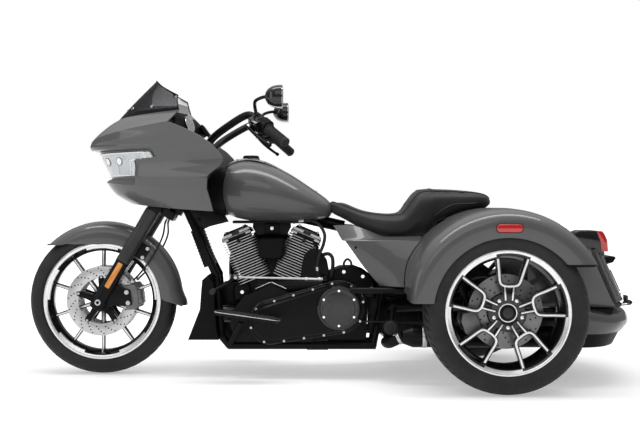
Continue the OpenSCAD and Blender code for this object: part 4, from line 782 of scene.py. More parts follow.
def buildRearWheel(w, side, sideName):
    body, label = "rear_wheel_" + sideName, sideName.title()
    place = rearPlace(side)
    face = w["rimW"] / 2
    carcass = [(z, r - (3.2 if z < 96 else 0)) for z, r in w["crown"]]
    piece("rearTyre" + label, body, [tyrePart(carcass, "rearRubber", place)], ["rear_tyre_" + sideName], angle=50)
    ribs = []
    for z0, z1 in ((-9, 9), (17, 39), (-39, -17)):  # ribs between the long grooves
        r0, r1 = (np.interp(abs(z), *np.array(w["crown"][:7]).T) for z in (z0, z1))
        ribs.append(revolvePart([(r0 - 5, z0), (r0, z0 + 1), ((r0 + r1) / 2 + 0.15, (z0 + z1) / 2), (r1, z1 - 1),
                                 (r1 - 5, z1)], "rearRubber", place, 128))
    piece("rearRibs" + label, body, ribs, ())
    blocks = [treadBlock(w["crown"], s * 47, s * 98, 2.2, 3.2, 7) for s in (-1, 1)]
    repeated("rearTread" + label, body, blocks, "ring", {"Count": w["tread"]}, "rearRubber",
             place)
    parts = [revolvePart(rimOutline(w["rimD"], w["rimW"]), "glossBlack", place, 128)]
    top = face - 12
    parts.append(revolvePart([(31, top - 40), (74, top - 40), (74, top - 8), (66, top - 3), (46, top - 5),
                              (31, top - 5)], "glossBlack", place, 64))
    parts.append(revolvePart([(31.4, top - 7), (37, top - 7), (36.4, top - 3.4), (32, top - 3.4)], "rearMachined",
                             place, 64))
    bands = []
    for k in range(w["spokes"]):
        turn = 90 + 360 / w["spokes"] * k
        at = turned(place, turn)
        for y0, y1 in ((9, 13), (-17, -24)):  # forked stem: two bars with a slot between
            parts.append(extrudePart(barOutline((40, y0), (108, y1), 14, 13), top - 38, top - 1.5, "glossBlack", at))
            parts.append(ribbonPart(np.array([(48, y0), (72, lerp(y0, y1, 0.35)), (101, lerp(y0, y1, 0.9))]), 6.0,
                                    top - 2, top, "rearMachined", at))
        parts.append(extrudePart(barOutline((40, -4), (90, -5), 16, 14), top - 38, top - 14, "glossBlack", at))
        fork = smoothRows(w["fork"], 54)
        parts.append(ribbonPart(fork, w["web"], top - 38, top - 2, "glossBlack", at))
        parts.append(ribbonPart(fork, w["strip"], top - 2.4, top, "rearMachined", at))
        for end in (fork[0], fork[-1]):  # feet where the fork meets the rim
            parts.append(extrudePart(barOutline(end * 0.95, end * 1.03, 18, 34), top - 34, top + 1.0, "glossBlack",
                                     at))
        wide = [math.degrees(math.atan2(q[1], q[0])) for q in (fork[0], fork[-1])]
        bands.append((turn + wide[0] + 1.5, 72 - (wide[0] - wide[1]) - 3))
    piece("rearRim" + label, body, parts, ["rear_rim_" + sideName], bevel=0.8, angle=34)
    parts = [revolvePart(lipOutline(w["rimD"], w["rimW"], s, 231), "rearMachined", place, 160) for s in (-1, 1)]
    for start, sweep in bands:  # the band is wider between the spokes
        parts.append(revolvePart([(233, face - 8), (233, face + 0.6), (221, face - 3), (219, face - 12)],
                                 "rearMachined", place, 24, start, sweep))
    piece("rearBand" + label, body, parts, (), angle=50)
    seat = face - 52.3
    hub = [revolvePart([(0, seat - 22), (76, seat - 22), (76, seat), (30, seat), (30, seat + 38), (27, seat + 42),
                        (0, seat + 42)], "satinBlack", place, 64),
           revolvePart([(0, seat + 41), (21, seat + 41), (20, seat + 44), (8, seat + 45.5), (0, seat + 45.5)],
                       "charcoal", place, 48),
           revolvePart([(0, -face - 88), (24, -face - 88), (24, seat - 21), (0, seat - 21)], "steel", place, 32),
           # brake disc in the darkened disc steel, a painted shade
           revolvePart([(w["discR"], seat - 34), (w["discR"], seat - 26), (62, seat - 26), (62, seat - 23),
                        (40, seat - 23), (40, seat - 34)], "rearDiscShadedSteel", place, 128)]
    for k in range(5):  # lug nuts with domed ends
        p = polar(57, 270 + 72 * k)
        at = lambda v, p=p: place(v + np.array([p[0], p[1], 0]))
        hub.append(revolvePart([(0, seat - 1), (9.6, seat - 1), (9.6, seat + 39), (8, seat + 43), (4, seat + 46),
                                (0, seat + 46.6)], "chrome", at, 20))
    piece("rearHub" + label, body, hub, ["rear_hub_" + sideName], bevel=0.5, angle=34)
    holes = []
    for k, r in enumerate((84, 102, 120, 136)):
        holes.append(extrudePart(circlePoints(3.6, 10, polar(r, k * 6.0)), seat - 34.12, seat - 25.88, "satinBlack",
                                 same))
    repeated("rearDiscDrilling" + label, body, holes, "ring", {"Count": 15}, "satinBlack",
             place)
    print("rear wheel", sideName)


for side, sideName in ((-1, "left"), (1, "right")):
    buildRearWheel(rearWheel, side, sideName)

# engine
def roundRect(w, h, r, n=6):
    pts = []
    for cx, cy, start in ((w / 2 - r, h / 2 - r, 0), (r - w / 2, h / 2 - r, 90), (r - w / 2, r - h / 2, 180),
                          (w / 2 - r, r - h / 2, 270)):
        pts += [np.array([cx, cy]) + polar(r, start + 90 * k / n) for k in range(n + 1)]
    return np.array(pts)


def outlineRing(outer, inner, low, high, material, place):  # a flat frame between two outlines
    rings = [np.column_stack([o, np.full(len(o), z)]) for o, z in ((outer, low), (outer, high), (inner, high),
            (inner, low))]
    v, f, m = loftPart(rings, material, True)
    return place(v), f, m


def stackPart(layers, material, place):  # a solid through outlines at rising heights
    v, f, m = loftPart([np.column_stack([o, np.full(len(o), z)]) for o, z in layers], material)
    return place(v), f, m


def roundStack(rows, material, place):  # the same through rounded rectangles: width, height, corner, level
    return stackPart([(roundRect(w, h, r), z) for w, h, r, z in rows], material, place)


def aimed(place, point, axis):  # a spot for a screw head
    p = place(np.array([point, np.add(point, axis)], float))
    return p[0], p[1] - p[0]


def capsule(a, ra, b, rb, n):  # outline round two circles
    a, b = np.asarray(a, float), np.asarray(b, float)
    d = np.linalg.norm(b - a)
    turn = math.degrees(math.atan2(b[1] - a[1], b[0] - a[0]))
    phi = math.degrees(math.acos((ra - rb) / d))
    return np.array([a + polar(ra, turn + phi + (360 - 2 * phi) * k / n) for k in range(n + 1)]
                    + [b + polar(rb, turn - phi + 2 * phi * k / n) for k in range(n + 1)])


engine = {"finW": 144.0, "finT": 3.3, "finPitch": 11.5, "fins": 17, "finLow": 189.0, "headLow": 339.5,
          "clutch": (46.5, 300.0), "derbyR": 93.0}


def buildEngine(e):
    ex, cz = trike["crankX"], trike["crankZ"]
    parts, spots = [], []
    head = e["headLow"]
    for k in (-1, 1):
        place = cylinderPlace(k)
        parts += [revolvePart([(0, 140.3), (62, 140.3), (62, 150), (56, 158), (56, 340), (0, 340)], "wrinkleBlack",
                              place, 64),
                  extrudePart(roundRect(112, 132, 14), head - 1, head + 45, "wrinkleBlack", place),
                  extrudePart(roundRect(138, 166, 20), head + 44, head + 55, "satinBlack", place),
                  outlineRing(roundRect(138.8, 166.8, 20), roundRect(130, 158, 18), head + 54.6, head + 56.4, "steel",
                              place),
                  extrudePart(roundRect(134, 162, 20), head + 56, head + 63, "glossBlack", place),
                  roundStack([(112, 146, 24, head + 62), (112, 146, 24, head + 74), (106, 140, 24, head + 79),
                              (92, 126, 22, head + 81.7)], "glossBlack", place),
                  roundStack([(66, 96, 14, head + 81), (64, 94, 14, head + 82)], "charcoal", place)]
        for x in (-1, 1):  # machined patches on the left and right faces of the rocker boxes
            for y in (-1, 1):
                parts.append(boxPart((x * 38 - 21, y * 79 - 3.2, head + 60), (x * 38 + 21, y * 79 + 3.2, head + 70),
                                     "finEdge", place))
                parts.append(boxPart((x * 52 - 12, y * 82 - 2.2, head + 45), (x * 52 + 12, y * 82 + 2.2, head + 53),
                                     "finEdge", place))
        # spark plug with its cap on the left
        plug = place(np.array([[0, -60, head + 22], [0, -84, head + 26], [0, -104, head + 34]]))
        parts += [rodPart(plug[0], plug[1], 9, "zinc", 6), tubePart(plug[1:], [8, 6.5], "softRubber", 16)]
        for x in (-1, 1):
            for y in (-1, 1):
                spots.append(aimed(place, (x * 42, y * 58, head + 81.5), (0, 0, 1)))
                spots.append(aimed(place, (x * 60, y * 72, head + 62.6), (0, 0, 1)))
    piece("cylinderBlocks", "chassis", parts, ["cylinders"], bevel=1.6, segments=3)
    screws("rockerScrews", "chassis", spots, 5.0, 4.0, "steel")
    for k, label in ((-1, "Front"), (1, "Rear")):
        place = cylinderPlace(k)
        z, w, t = e["finLow"], e["finW"], e["finT"]
        step = {"Count": e["fins"], "Step": (0, 0, e["finPitch"] * 0.001)}
        fin = outlineRing(roundRect(w - 0.4, w + 3.6, 24), roundRect(100, 104, 20), z, z + t, None, same)
        edge = outlineRing(roundRect(w + 0.3, w + 4.3, 24), roundRect(w - 3.4, w + 0.6, 22), z - 0.1, z + t + 0.1,
                           None, same)
        repeated("fins" + label, "chassis", [fin], "row", step, "wrinkleBlack", place)
        repeated("finEdges" + label, "chassis", [edge], "row", step, "finEdge", place)
    # primary chain case with its clutch cover
    place = axlePlace(0, -118.3, 0)
    crank, clutch = (ex, cz - 4), e["clutch"]
    case = lambda front, rear: capsule(crank, front, clutch, rear, 60)
    parts = [stackPart([(case(92, 112), 0), (case(92, 112), 58), (case(90, 110), 65), (case(84, 106), 69.5)],
                       "satinBlack", place),
             extrudePart(case(92.7, 112.7), 20, 22, "steel", place),
             stackPart([(case(76, 101), 69), (case(75, 100), 78), (case(68, 96), 84), (case(60, 92), 85)],
                       "satinBlack", place)]
    at = lambda v: place(v + np.array([clutch[0], clutch[1], 0]))
    r = e["derbyR"]
    parts += [revolvePart([(0, 83), (r, 83), (r, 94), (r - 2, 99), (r - 7, 102), (r - 13, 102.4), (r - 15, 101),
                           (r - 24, 101), (r - 26, 102.6), (r - 60, 103.8), (0, 104)], "glossBlack", at, 96),
              revolvePart([(r - 7.6, 101.6), (r - 6.4, 102.6), (r - 12, 103), (r - 13.6, 102)], "charcoal", at, 96)]
    piece("primaryCase", "chassis", parts, ["primary_cover"], bevel=0.0, angle=30)
    rim = case(84, 106)
    length = np.concatenate([[0], np.cumsum(np.linalg.norm(np.diff(np.vstack([rim, rim[:1]]), axis=0), axis=1))])
    spots = []
    for k in range(14):
        d = length[-1] * (k + 0.5) / 14
        p = [np.interp(d, length, np.append(rim[:, c], rim[0, c])) for c in (0, 1)]
        spots.append(aimed(place, (p[0], p[1], 68.6), (0, 0, 1)))
    screws("primaryScrews", "chassis", spots, 3.8, 4.5, "zinc")
    screws("derbyScrews", "chassis", [aimed(at, (*polar(r - 19.5, 30 + 60 * k), 101), (0, 0, 1)) for k in range(6)],
           3.6, 2.4, "chrome")
    screws("camScrews", "chassis", [((ex + 20 + 90 * math.cos(a), 164, 234 + 90 * math.sin(a)), (0, 1, 0))
                                    for a in np.arange(8) * math.pi / 4 + 0.3],
           5, 4, "zinc")
    # air cleaner on the right, and the horn cover between the cylinders on the left
    at = lambda v: np.stack([ex - 10 + v[:, 0], 130 + v[:, 2], 556 + v[:, 1]], 1)
    parts = [revolvePart([(0, 0), (90, 0), (92, 3), (92, 52), (89, 60), (84, 63), (0, 63)], "satinBlack", at, 96),
             revolvePart([(60, 62), (84, 62), (83, 68), (76, 74), (68, 76), (62, 74)], "glossBlack", at, 96),
             revolvePart([(0, 62), (62, 62), (60, 70), (40, 73), (0, 74)], "charcoal", at, 64),
             revolvePart([(67, 75.4), (76.4, 73.6), (75.6, 75.4), (68.4, 77)], "chrome", at, 96),
             revolvePart([(0, -108), (26, -108), (26, 1), (0, 1)], "satinBlack", at, 32),
             rodPart((ex - 62, 16, 556), (ex + 62, 16, 556), 21, "castGrey", 32)]
    piece("airCleaner", "chassis", parts, ["air_cleaner"], bevel=0.6)
    screws("airCleanerScrews", "chassis", [aimed(at, (*polar(50, 90 + 120 * k), 71), (0, 0, 1)) for k in range(3)], 5,
           3.5, "steel")
    at = axlePlace(ex + 2, -66, 548)
    shape = np.array([(-58, 30), (-54, 41), (-44, 46), (0, 46), (44, 46), (54, 41), (58, 30), (55, 0), (52, -30),
                      (47, -40), (36, -46), (0, -46), (-36, -46), (-47, -40), (-52, -30), (-55, 0)], float)
    parts = [stackPart([(shape, 0), (shape, 50), (shape * 0.97, 57), (shape * 0.9, 61), (shape * 0.78, 63.4)],
                       "mouldedBlack", at),
             outlineRing(shape * 1.004, shape * 0.96, 48, 50.4, "satinBlack", at),
             boxPart((ex - 22, -69.5, 532), (ex + 22, -6.5, 572), "satinBlack")]
    piece("hornCover", "chassis", parts, ["horn_cover"], bevel=2.0, angle=40, segments=3)
    screws("hornScrews", "chassis", [((ex + x, -128.6, 548 + z), (0, -1, 0))
                                     for x, z in ((-32, 28), (36, 28), (2, -30))], 3.0, 2.4, "satinBlack")
    print("engine")


buildEngine(engine)

# fairing, lamp, screen and instruments
fairing = {
    # middle point behind the front axle, its height, rear edge behind the axle, share of half width,
    # its height, recess
    "rows": [(114, 748, 512, 0.912, 709, 0), (54, 783, 502, 0.936, 750, 0), (12, 836, 488, 0.96, 800, 0),
             (-2, 850, 490, 0.976, 850, 38), (-46, 963, 521, 0.975, 968, 30), (-54, 972, 515, 0.971, 974, 0),
             (-60, 984, 508, 0.967, 981, 0), (-59, 991, 492, 0.955, 993, 0), (-58, 996, 430, 0.91, 1032, 0),
             (-54, 1003, 320, 0.794, 1080, 0), (-26, 1034, 336, 0.722, 1101, 0), (20, 1074, 348, 0.663, 1119, 0),
             (64, 1103, 358, 0.6, 1133, 0)],
    # rear edge beside the lamp: height, behind the axle, share of half width
    "edge": [(830, 486, 0.97), (850, 490, 0.976), (872, 512, 0.987), (893, 540, 0.995), (912, 555, 1),
             (930, 552, 0.997), (950, 538, 0.986), (968, 521, 0.975)],
    "halfWidth": 422.0, "power": 1.65, "thick": 4.6, "columns": 60, "lampLow": 0.5, "lampHigh": 0.655, "step": 0.66,
}


def fairingPoint(row, u, edge, soft=0.05):
    a = abs(u)
    recess = 1 - ease((a - edge + 0.02) / soft)
    x = lerp(row[2], row[0] + row[5] * recess, 1 - a ** fairing["power"])
    return [trike["frontX"] + x, u * row[3] * fairing["halfWidth"], lerp(row[1], row[4], a)]


def lampEdge(w):  # how far the lamp's recess reaches to the side, from its foot to its top
    return lerp(fairing["lampLow"], fairing["lampHigh"], ease((w - fairing["step"]) / 0.1))


def lampRow(w):  # a row between the lamp's foot and its top, out to the rounded rear edge
    rows, edge = np.array(fairing["rows"], float), smoothRows(fairing["edge"], 42)
    row = lerp(rows[3], rows[4], w)
    row[2], row[3] = (np.interp(row[4], edge[:, 0], edge[:, c]) for c in (1, 2))
    return row


def lampGrid(low, high, count, reachLow, reachHigh, lift, columns=56):
    g = []
    for w in np.linspace(low, high, count):
        row = lampRow(w)
        reach = lerp(reachLow, reachHigh, ease((w - fairing["step"] + 0.02) / 0.08))
        g.append([fairingPoint(row, u * reach, 1.0) for u in np.linspace(-1, 1, columns + 1)])
    g = np.array(g)
    return g + lift * gridNormals(g)


def buildFairing(f):
    rows = np.array(f["rows"], float)
    fx = trike["frontX"]
    zones = [list(smoothRows(rows[0:3], 12)), list(np.linspace(rows[2], rows[3], 4)[1:]),
             [lampRow(w) for w in np.linspace(0, 1, 31)[1:]], list(np.linspace(rows[4], rows[5], 4)[1:]),
             list(smoothRows(rows[5:10], 20)[1:]), list(smoothRows(rows[9:13], 12)[1:])]
    us = np.linspace(-1, 1, 2 * f["columns"] + 1)
    grid = []
    for zone, part in enumerate(zones):
        for i, row in enumerate(part):
            w = 0.0 if zone < 2 else (i + 1) / len(part) if zone == 2 else 1.0
            grid.append([fairingPoint(row, u, lampEdge(w)) for u in us])
    piece("fairing", "chassis", [panelPart(grid, f["thick"], "bodyPaint")], ["fairing_shell"], angle=26)
    # headlamp: silver reflectors, lamp bowls and light guides under a clear cover with a dark rim
    parts = [panelPart(lampGrid(0.07, 0.93, 30, 0.474, 0.628, 4.4), 2.4, "lampSilver")]
    rimGrid = lampGrid(0.045, 0.955, 30, 0.488, 0.642, 2.0)
    parts.append(panelPart(rimGrid, 1.4, "glossBlack"))
    inner = lampGrid(0.07, 0.93, 30, 0.474, 0.628, 5.6)
    guide = np.concatenate([inner[-1, 2:-2], inner[-2:1:-1, -3], inner[1, -3:2:-1], inner[2:-1, 2]])
    parts.append(tubePart(guide, 2.2, "lampGlow", 8, True))
    for j in (4, 10, 46, 52):  # ribs between the lamp chambers
        parts.append(tubePart(inner[20:29, j] if j in (4, 52) else inner[2:28, j], 1.6, "steel", 6))
    for u in (-0.44, -0.25, 0.25, 0.44):  # lamp bowls with a bright lens each
        j = int(round((u + 0.63) / 1.26 * 56))
        c, n = inner[19, j], gridNormals(inner)[19, j]
        if n[0] > 0:
            n = -n
        parts += [tubePart([c - n * 3, c + n * 1.2], [18, 18.6], "castGrey", 32),
                  tubePart([c, c + n * 1.8, c + n * 2.6], [17, 15, 8], "lampGlow", 32)]
    piece("headlampInside", "chassis", parts, ["headlamp"], angle=40)
    piece("headlampCover", "chassis", [panelPart(lampGrid(0.06, 0.94, 24, 0.482, 0.636, 9.4), 1.6, "clearLens")], (),
          angle=50)
    # windscreen with a dark band at its foot and five screws
    tall = np.array([(66, 1103.4, 357, 0.596, 1133), (106, 1150, 352, 0.57, 1156), (148, 1194, 348, 0.53, 1174),
                     (190, 1236, 346, 0.485, 1190), (232, 1277.6, 346, 0.43, 1200)])
    screen = []
    fine = smoothRows(tall, 28)
    for i, r in enumerate(fine):
        t = i / 28
        line = []
        for u in np.linspace(-1, 1, 65):
            a = abs(u)
            line.append([fx + lerp(r[2], r[0], 1 - a ** lerp(1.65, 2.1, t)), u * r[3] * f["halfWidth"],
                         lerp(r[1], r[4], a ** lerp(1, 1.6, t))])
        screen.append(line)
    screen = np.array(screen)
    n = gridNormals(screen)
    parts = [panelPart(screen, 4.2, "smokeScreen")]
    band = screen[0:5] + 0.5 * n[0:5]
    parts.append(panelPart(band, 5.4, "mouldedBlack"))
    edge = np.concatenate([screen[4:, 0], screen[-1, 1:-1], screen[:3:-1, -1]])
    parts.append(tubePart(edge, 2.5, "mouldedBlack", 8))
    piece("windscreenPanel", "chassis", parts, ["windscreen"], angle=40)
    spots = [(screen[7, j] - 0.5 * n[7, j], -n[7, j] if n[7, j][0] > 0 else n[7, j]) for j in (10, 22, 32, 42, 54)]
    screws("screenScrews", "chassis", spots, 5.5, 4.0, "zinc")
    # instrument cowl with two dials, two small dials and a display
    cowl = np.array([(350, 1132, 244, 0.02), (376, 1128, 240, 0.16), (412, 1098, 236, 0.3), (452, 1052, 228, 0.56),
                     (448, 1034, 224, 0.66), (404, 1012, 224, 0.62)])
    grid = []
    for r in smoothRows(cowl[::-1], 30):
        grid.append([[fx + r[0] - r[3] * abs(u) * r[2], u * r[2], r[1] - 10 * u * u] for u in np.linspace(1, -1, 49)])
    grid = np.array(grid)
    n = gridNormals(grid)
    parts = [panelPart(grid, 5.6, "mouldedBlack")]
    for j, size in ((13, 34.0), (35, 34.0), (19, 17.0), (29, 17.0)):
        i = 16 if size > 20 else 21
        c, up = grid[i, j], n[i, j]
        parts += [tubePart([c - up * 4, c + up * 5, c + up * 5.2], [size + 5, size + 4, size], "glossBlack", 40),
                  tubePart([c + up * 4.9, c + up * 5.6], [size + 3.4, size + 2.4], "chrome", 40),
                  tubePart([c + up * 4, c + up * 5.4], [size, size - 0.5], "charcoal", 40),
                  tubePart([c + up * 5.4, c + up * 5.9], [size * 0.12, size * 0.1], "steel", 16)]
        side = np.cross(up, [0, 0, 1])
        side /= np.linalg.norm(side)
        high = np.cross(side, up)
        for k in range(9):
            a = math.radians(-120 + 30 * k)
            d = side * math.sin(a) + high * math.cos(a)
            parts.append(rodPart(c + up * 5.5 + d * size * 0.74, c + up * 5.5 + d * size * 0.92, 0.9, "lampSilver",
                                 5))
        d = side * math.sin(-1.6) + high * math.cos(-1.6)
        parts.append(rodPart(c + up * 5.9 - d * size * 0.1, c + up * 5.9 + d * size * 0.7, 0.8, "redLens", 5))
    c, up = grid[13, 24], n[13, 24]
    side = np.array([0.0, 1.0, 0.0])
    high = np.cross(up, side)
    if high[2] < 0:
        high = -high

    def panel(w, h, low, lift, m):  # a flat block on the cowl
        corners = [(-1, -1), (1, -1), (1, 1), (-1, 1)]
        points = [c + side * x * w + high * y * h + up * z for z in (low, lift) for x, y in corners]
        faces = [(3, 2, 1, 0), (4, 5, 6, 7), (0, 1, 5, 4), (1, 2, 6, 5), (2, 3, 7, 6), (3, 0, 4, 7)]
        return np.array(points), faces, m

    parts += [panel(48, 30, -8, 5, "satinBlack"), panel(42, 25, 4, 6, "glossBlack")]
    piece("instrumentCowl", "chassis", parts, ["dash"], angle=34)
    print("fairing")


buildFairing(fairing)

# neck, cooler and fittings round the engine
extras = {"coolerFins": 11, "hoseR": 7.0}


def buildExtras(e):
    ex = trike["crankX"]
    rings = []
    for x, half, low, high in smoothRows([(-524, 52, 726, 846), (-508, 74, 708, 872), (-484, 96, 694, 892),
                                          (-460, 116, 688, 904), (-438, 126, 690, 908)], 14):
        rings.append(ringSection(x, half, low, high, 40, 0.6))
    parts = [loftPart(rings, "mouldedBlack")]
    for side in (-1, 1):  # gusset plates from the neck to the down tubes
        place = axlePlace(0, side * 34, 0)
        parts.append(extrudePart([(-640, 742), (-545, 716), (-452, 690), (-436, 662), (-520, 640), (-572, 616),
                                  (-590, 640)], -5, 5, "satinBlack", place))
        parts.append(rodPart((-560, side * 30, 668), (-560, side * 50, 668), 9, "satinBlack", 6))
    piece("neckCover", "chassis", parts, (), bevel=1.5, angle=40)
    # finned cooler between the down tubes
    a, b = np.array([-572.0, 0, 630.0]), np.array([-512.0, 0, 470.0])
    down = (b - a) / np.linalg.norm(b - a)
    out = np.array([down[2], 0, -down[0]])
    place = lambda v: a + v[:, [0]] * out + v[:, [1]] * np.array([0, 1.0, 0]) + v[:, [2]] * down
    piece("coolerCore", "chassis", [boxPart((-25.5, -46, 0), (25.5, 46, 170), "satinBlack", place)], (),
          bevel=2.0)
    fin = extrudePart(roundRect(58, 104, 8), 6, 9, None, same)
    repeated("coolerFins", "chassis", [fin], "row", {"Count": e["coolerFins"], "Step": (0, 0, 0.0145)}, "satinBlack",
             place)
    # top mount between the rocker boxes, coil cover and the oil tank behind the rear cylinder
    parts = [extrudePart([(ex - 66, 604), (ex + 66, 604), (ex + 84, 640), (ex + 80, 664), (ex - 80, 664),
                          (ex - 84, 640)], -30, 34, "satinBlack", axlePlace(0, 0, 0)),
             boxPart((ex - 170, -42, 655), (ex + 150, 42, 667), "satinBlack"),
             boxPart((ex - 30, -64, 612), (ex + 34, -28, 652), "mouldedBlack")]
    place = axlePlace(0, -84, 0)
    parts.append(extrudePart([(-118, 396), (-26, 396), (10, 428), (-2, 492), (-34, 540), (-70, 548), (-100, 520),
                              (-112, 470)], -150, 0, "satinBlack", place))
    parts += [rodPart((-56, -58, 540), (-56, -58, 566), 17, "glossBlack", 32),
              rodPart((-56, -58, 564), (-56, -58, 572), 20, "satinBlack", 24),
              tubePart(smoothRows([(-20, -70, 520), (4, -84, 524), (20, -90, 508), (22, -88, 470), (14, -84, 420)],
                                  24), 8, "softRubber", 14)]
    parts += [boxPart((ex - 46, -30, 404), (ex + 46, 60, 520), "satinBlack"),
              rodPart((ex - 262, -30, 262), (ex - 160, -30, 262), 40, "glossBlack", 48),
              rodPart((ex - 266, -30, 262), (ex - 258, -30, 262), 33, "satinBlack", 48),
              boxPart((ex - 226, 4, 150), (ex - 150, 56, 392), "satinBlack"),
              boxPart((176, -34, 176), (400, 34, 420), "satinBlack"), rodPart((ex - 62, -60, 380),
                      (ex + 226, -60, 380), 43, "satinBlack", 40)]
    box = np.array([(-22, 330), (-24, 414), (8, 448), (52, 468), (112, 470), (150, 456), (192, 426), (208, 392),
                    (208, 330)], float)
    mid = box.mean(0)
    parts.append(stackPart([((box - mid) * 0.9 + mid, -74), ((box - mid) * 0.97 + mid, -70), (box, -62), (box, 62),
                            ((box - mid) * 0.94 + mid, 72)], "satinBlack", axlePlace(0, 0, 0)))
    for s in (-50, -30, 30, 50):  # cooling ribs over the gearbox
        parts.append(extrudePart((box - mid) * 1.018 + mid, s - 3, s + 3, "satinBlack", axlePlace(0, 0, 0)))
    parts.append(tubePart(smoothRows([(70, -52, 462), (72, -54, 486), (86, -56, 500), (101, -56, 488),
                                      (104, -54, 462)], 20), 5, "softRubber", 12))
    nose = np.array([(-408, 318), (-338, 318), (-318, 352), (-322, 402), (-344, 418), (-392, 408), (-412, 372)],
                    float)
    small = (nose - [-365, 366]) * 0.9 + [-365, 366]
    parts.append(stackPart([(small, -40), (nose, -34), (nose, 34), (small, 40)], "satinBlack", axlePlace(0, 0, 0)))
    parts.append(tubePart([(96, -244, 380), (120, -250, 378), (346, -268, 378)], 13, "satinBlack", 20))
    piece("engineMounts", "chassis", parts, (), bevel=2.5, angle=40, segments=3)
    screws("mountScrews", "chassis", [((ex + 2, -64.5, 634), (0, -1, 0)), ((-36, -84.5, 416), (0, -1, 0)),
                                      ((-92, -84.5, 416), (0, -1, 0)), ((152, -74.6, 426), (0, -1, 0)),
                                      ((70, -74.6, 446), (0, -1, 0)), ((190, -74.6, 376), (0, -1, 0)),
                                      ((-372, -41.6, 356), (0, -1, 0))], 5.5, 5, "chrome")
    # breather pipe over the rear cylinder and the bright edges at the foot of the vee
    path = smoothRows([(-150, -54, 660), (-90, -66, 668), (-44, -78, 656), (-14, -88, 612), (-18, -92, 566),
                       (-36, -90, 520), (-44, -86, 470), (-40, -84, 425)], 44)
    parts = [tubePart(path, e["hoseR"], "softRubber", 16), tubePart(path[3:6], e["hoseR"] + 1.6, "zinc", 16),
             tubePart(path[38:41], e["hoseR"] + 1.6, "zinc", 16)]
    for k in (-1, 1):
        parts.append(tubePart([(ex + k * 2, -121, 404), (ex + k * 66, -121, 376)], 2.2, "steel", 8))
    piece("breatherPipe", "chassis", parts, (), angle=50)
    print("engine fittings")


buildExtras(extras)

# front fender, fork and brakes
frontEnd = {"crest": 341.5, "tailCrest": 362.0, "half": 79.0, "thick": 3.6,
            "skirt": [(134.5, 338.0), (128.4, 308.0), (116.3, 269.5), (105.0, 250.0), (94.6, 242.0), (82.0, 244.0),
                      (70.0, 248.0), (40.0, 250.0), (10.0, 250.0), (1.0, 256.0), (-1.0, 276.0), (-2.6, 310.0),
                      (-3.9, 346.0)]}


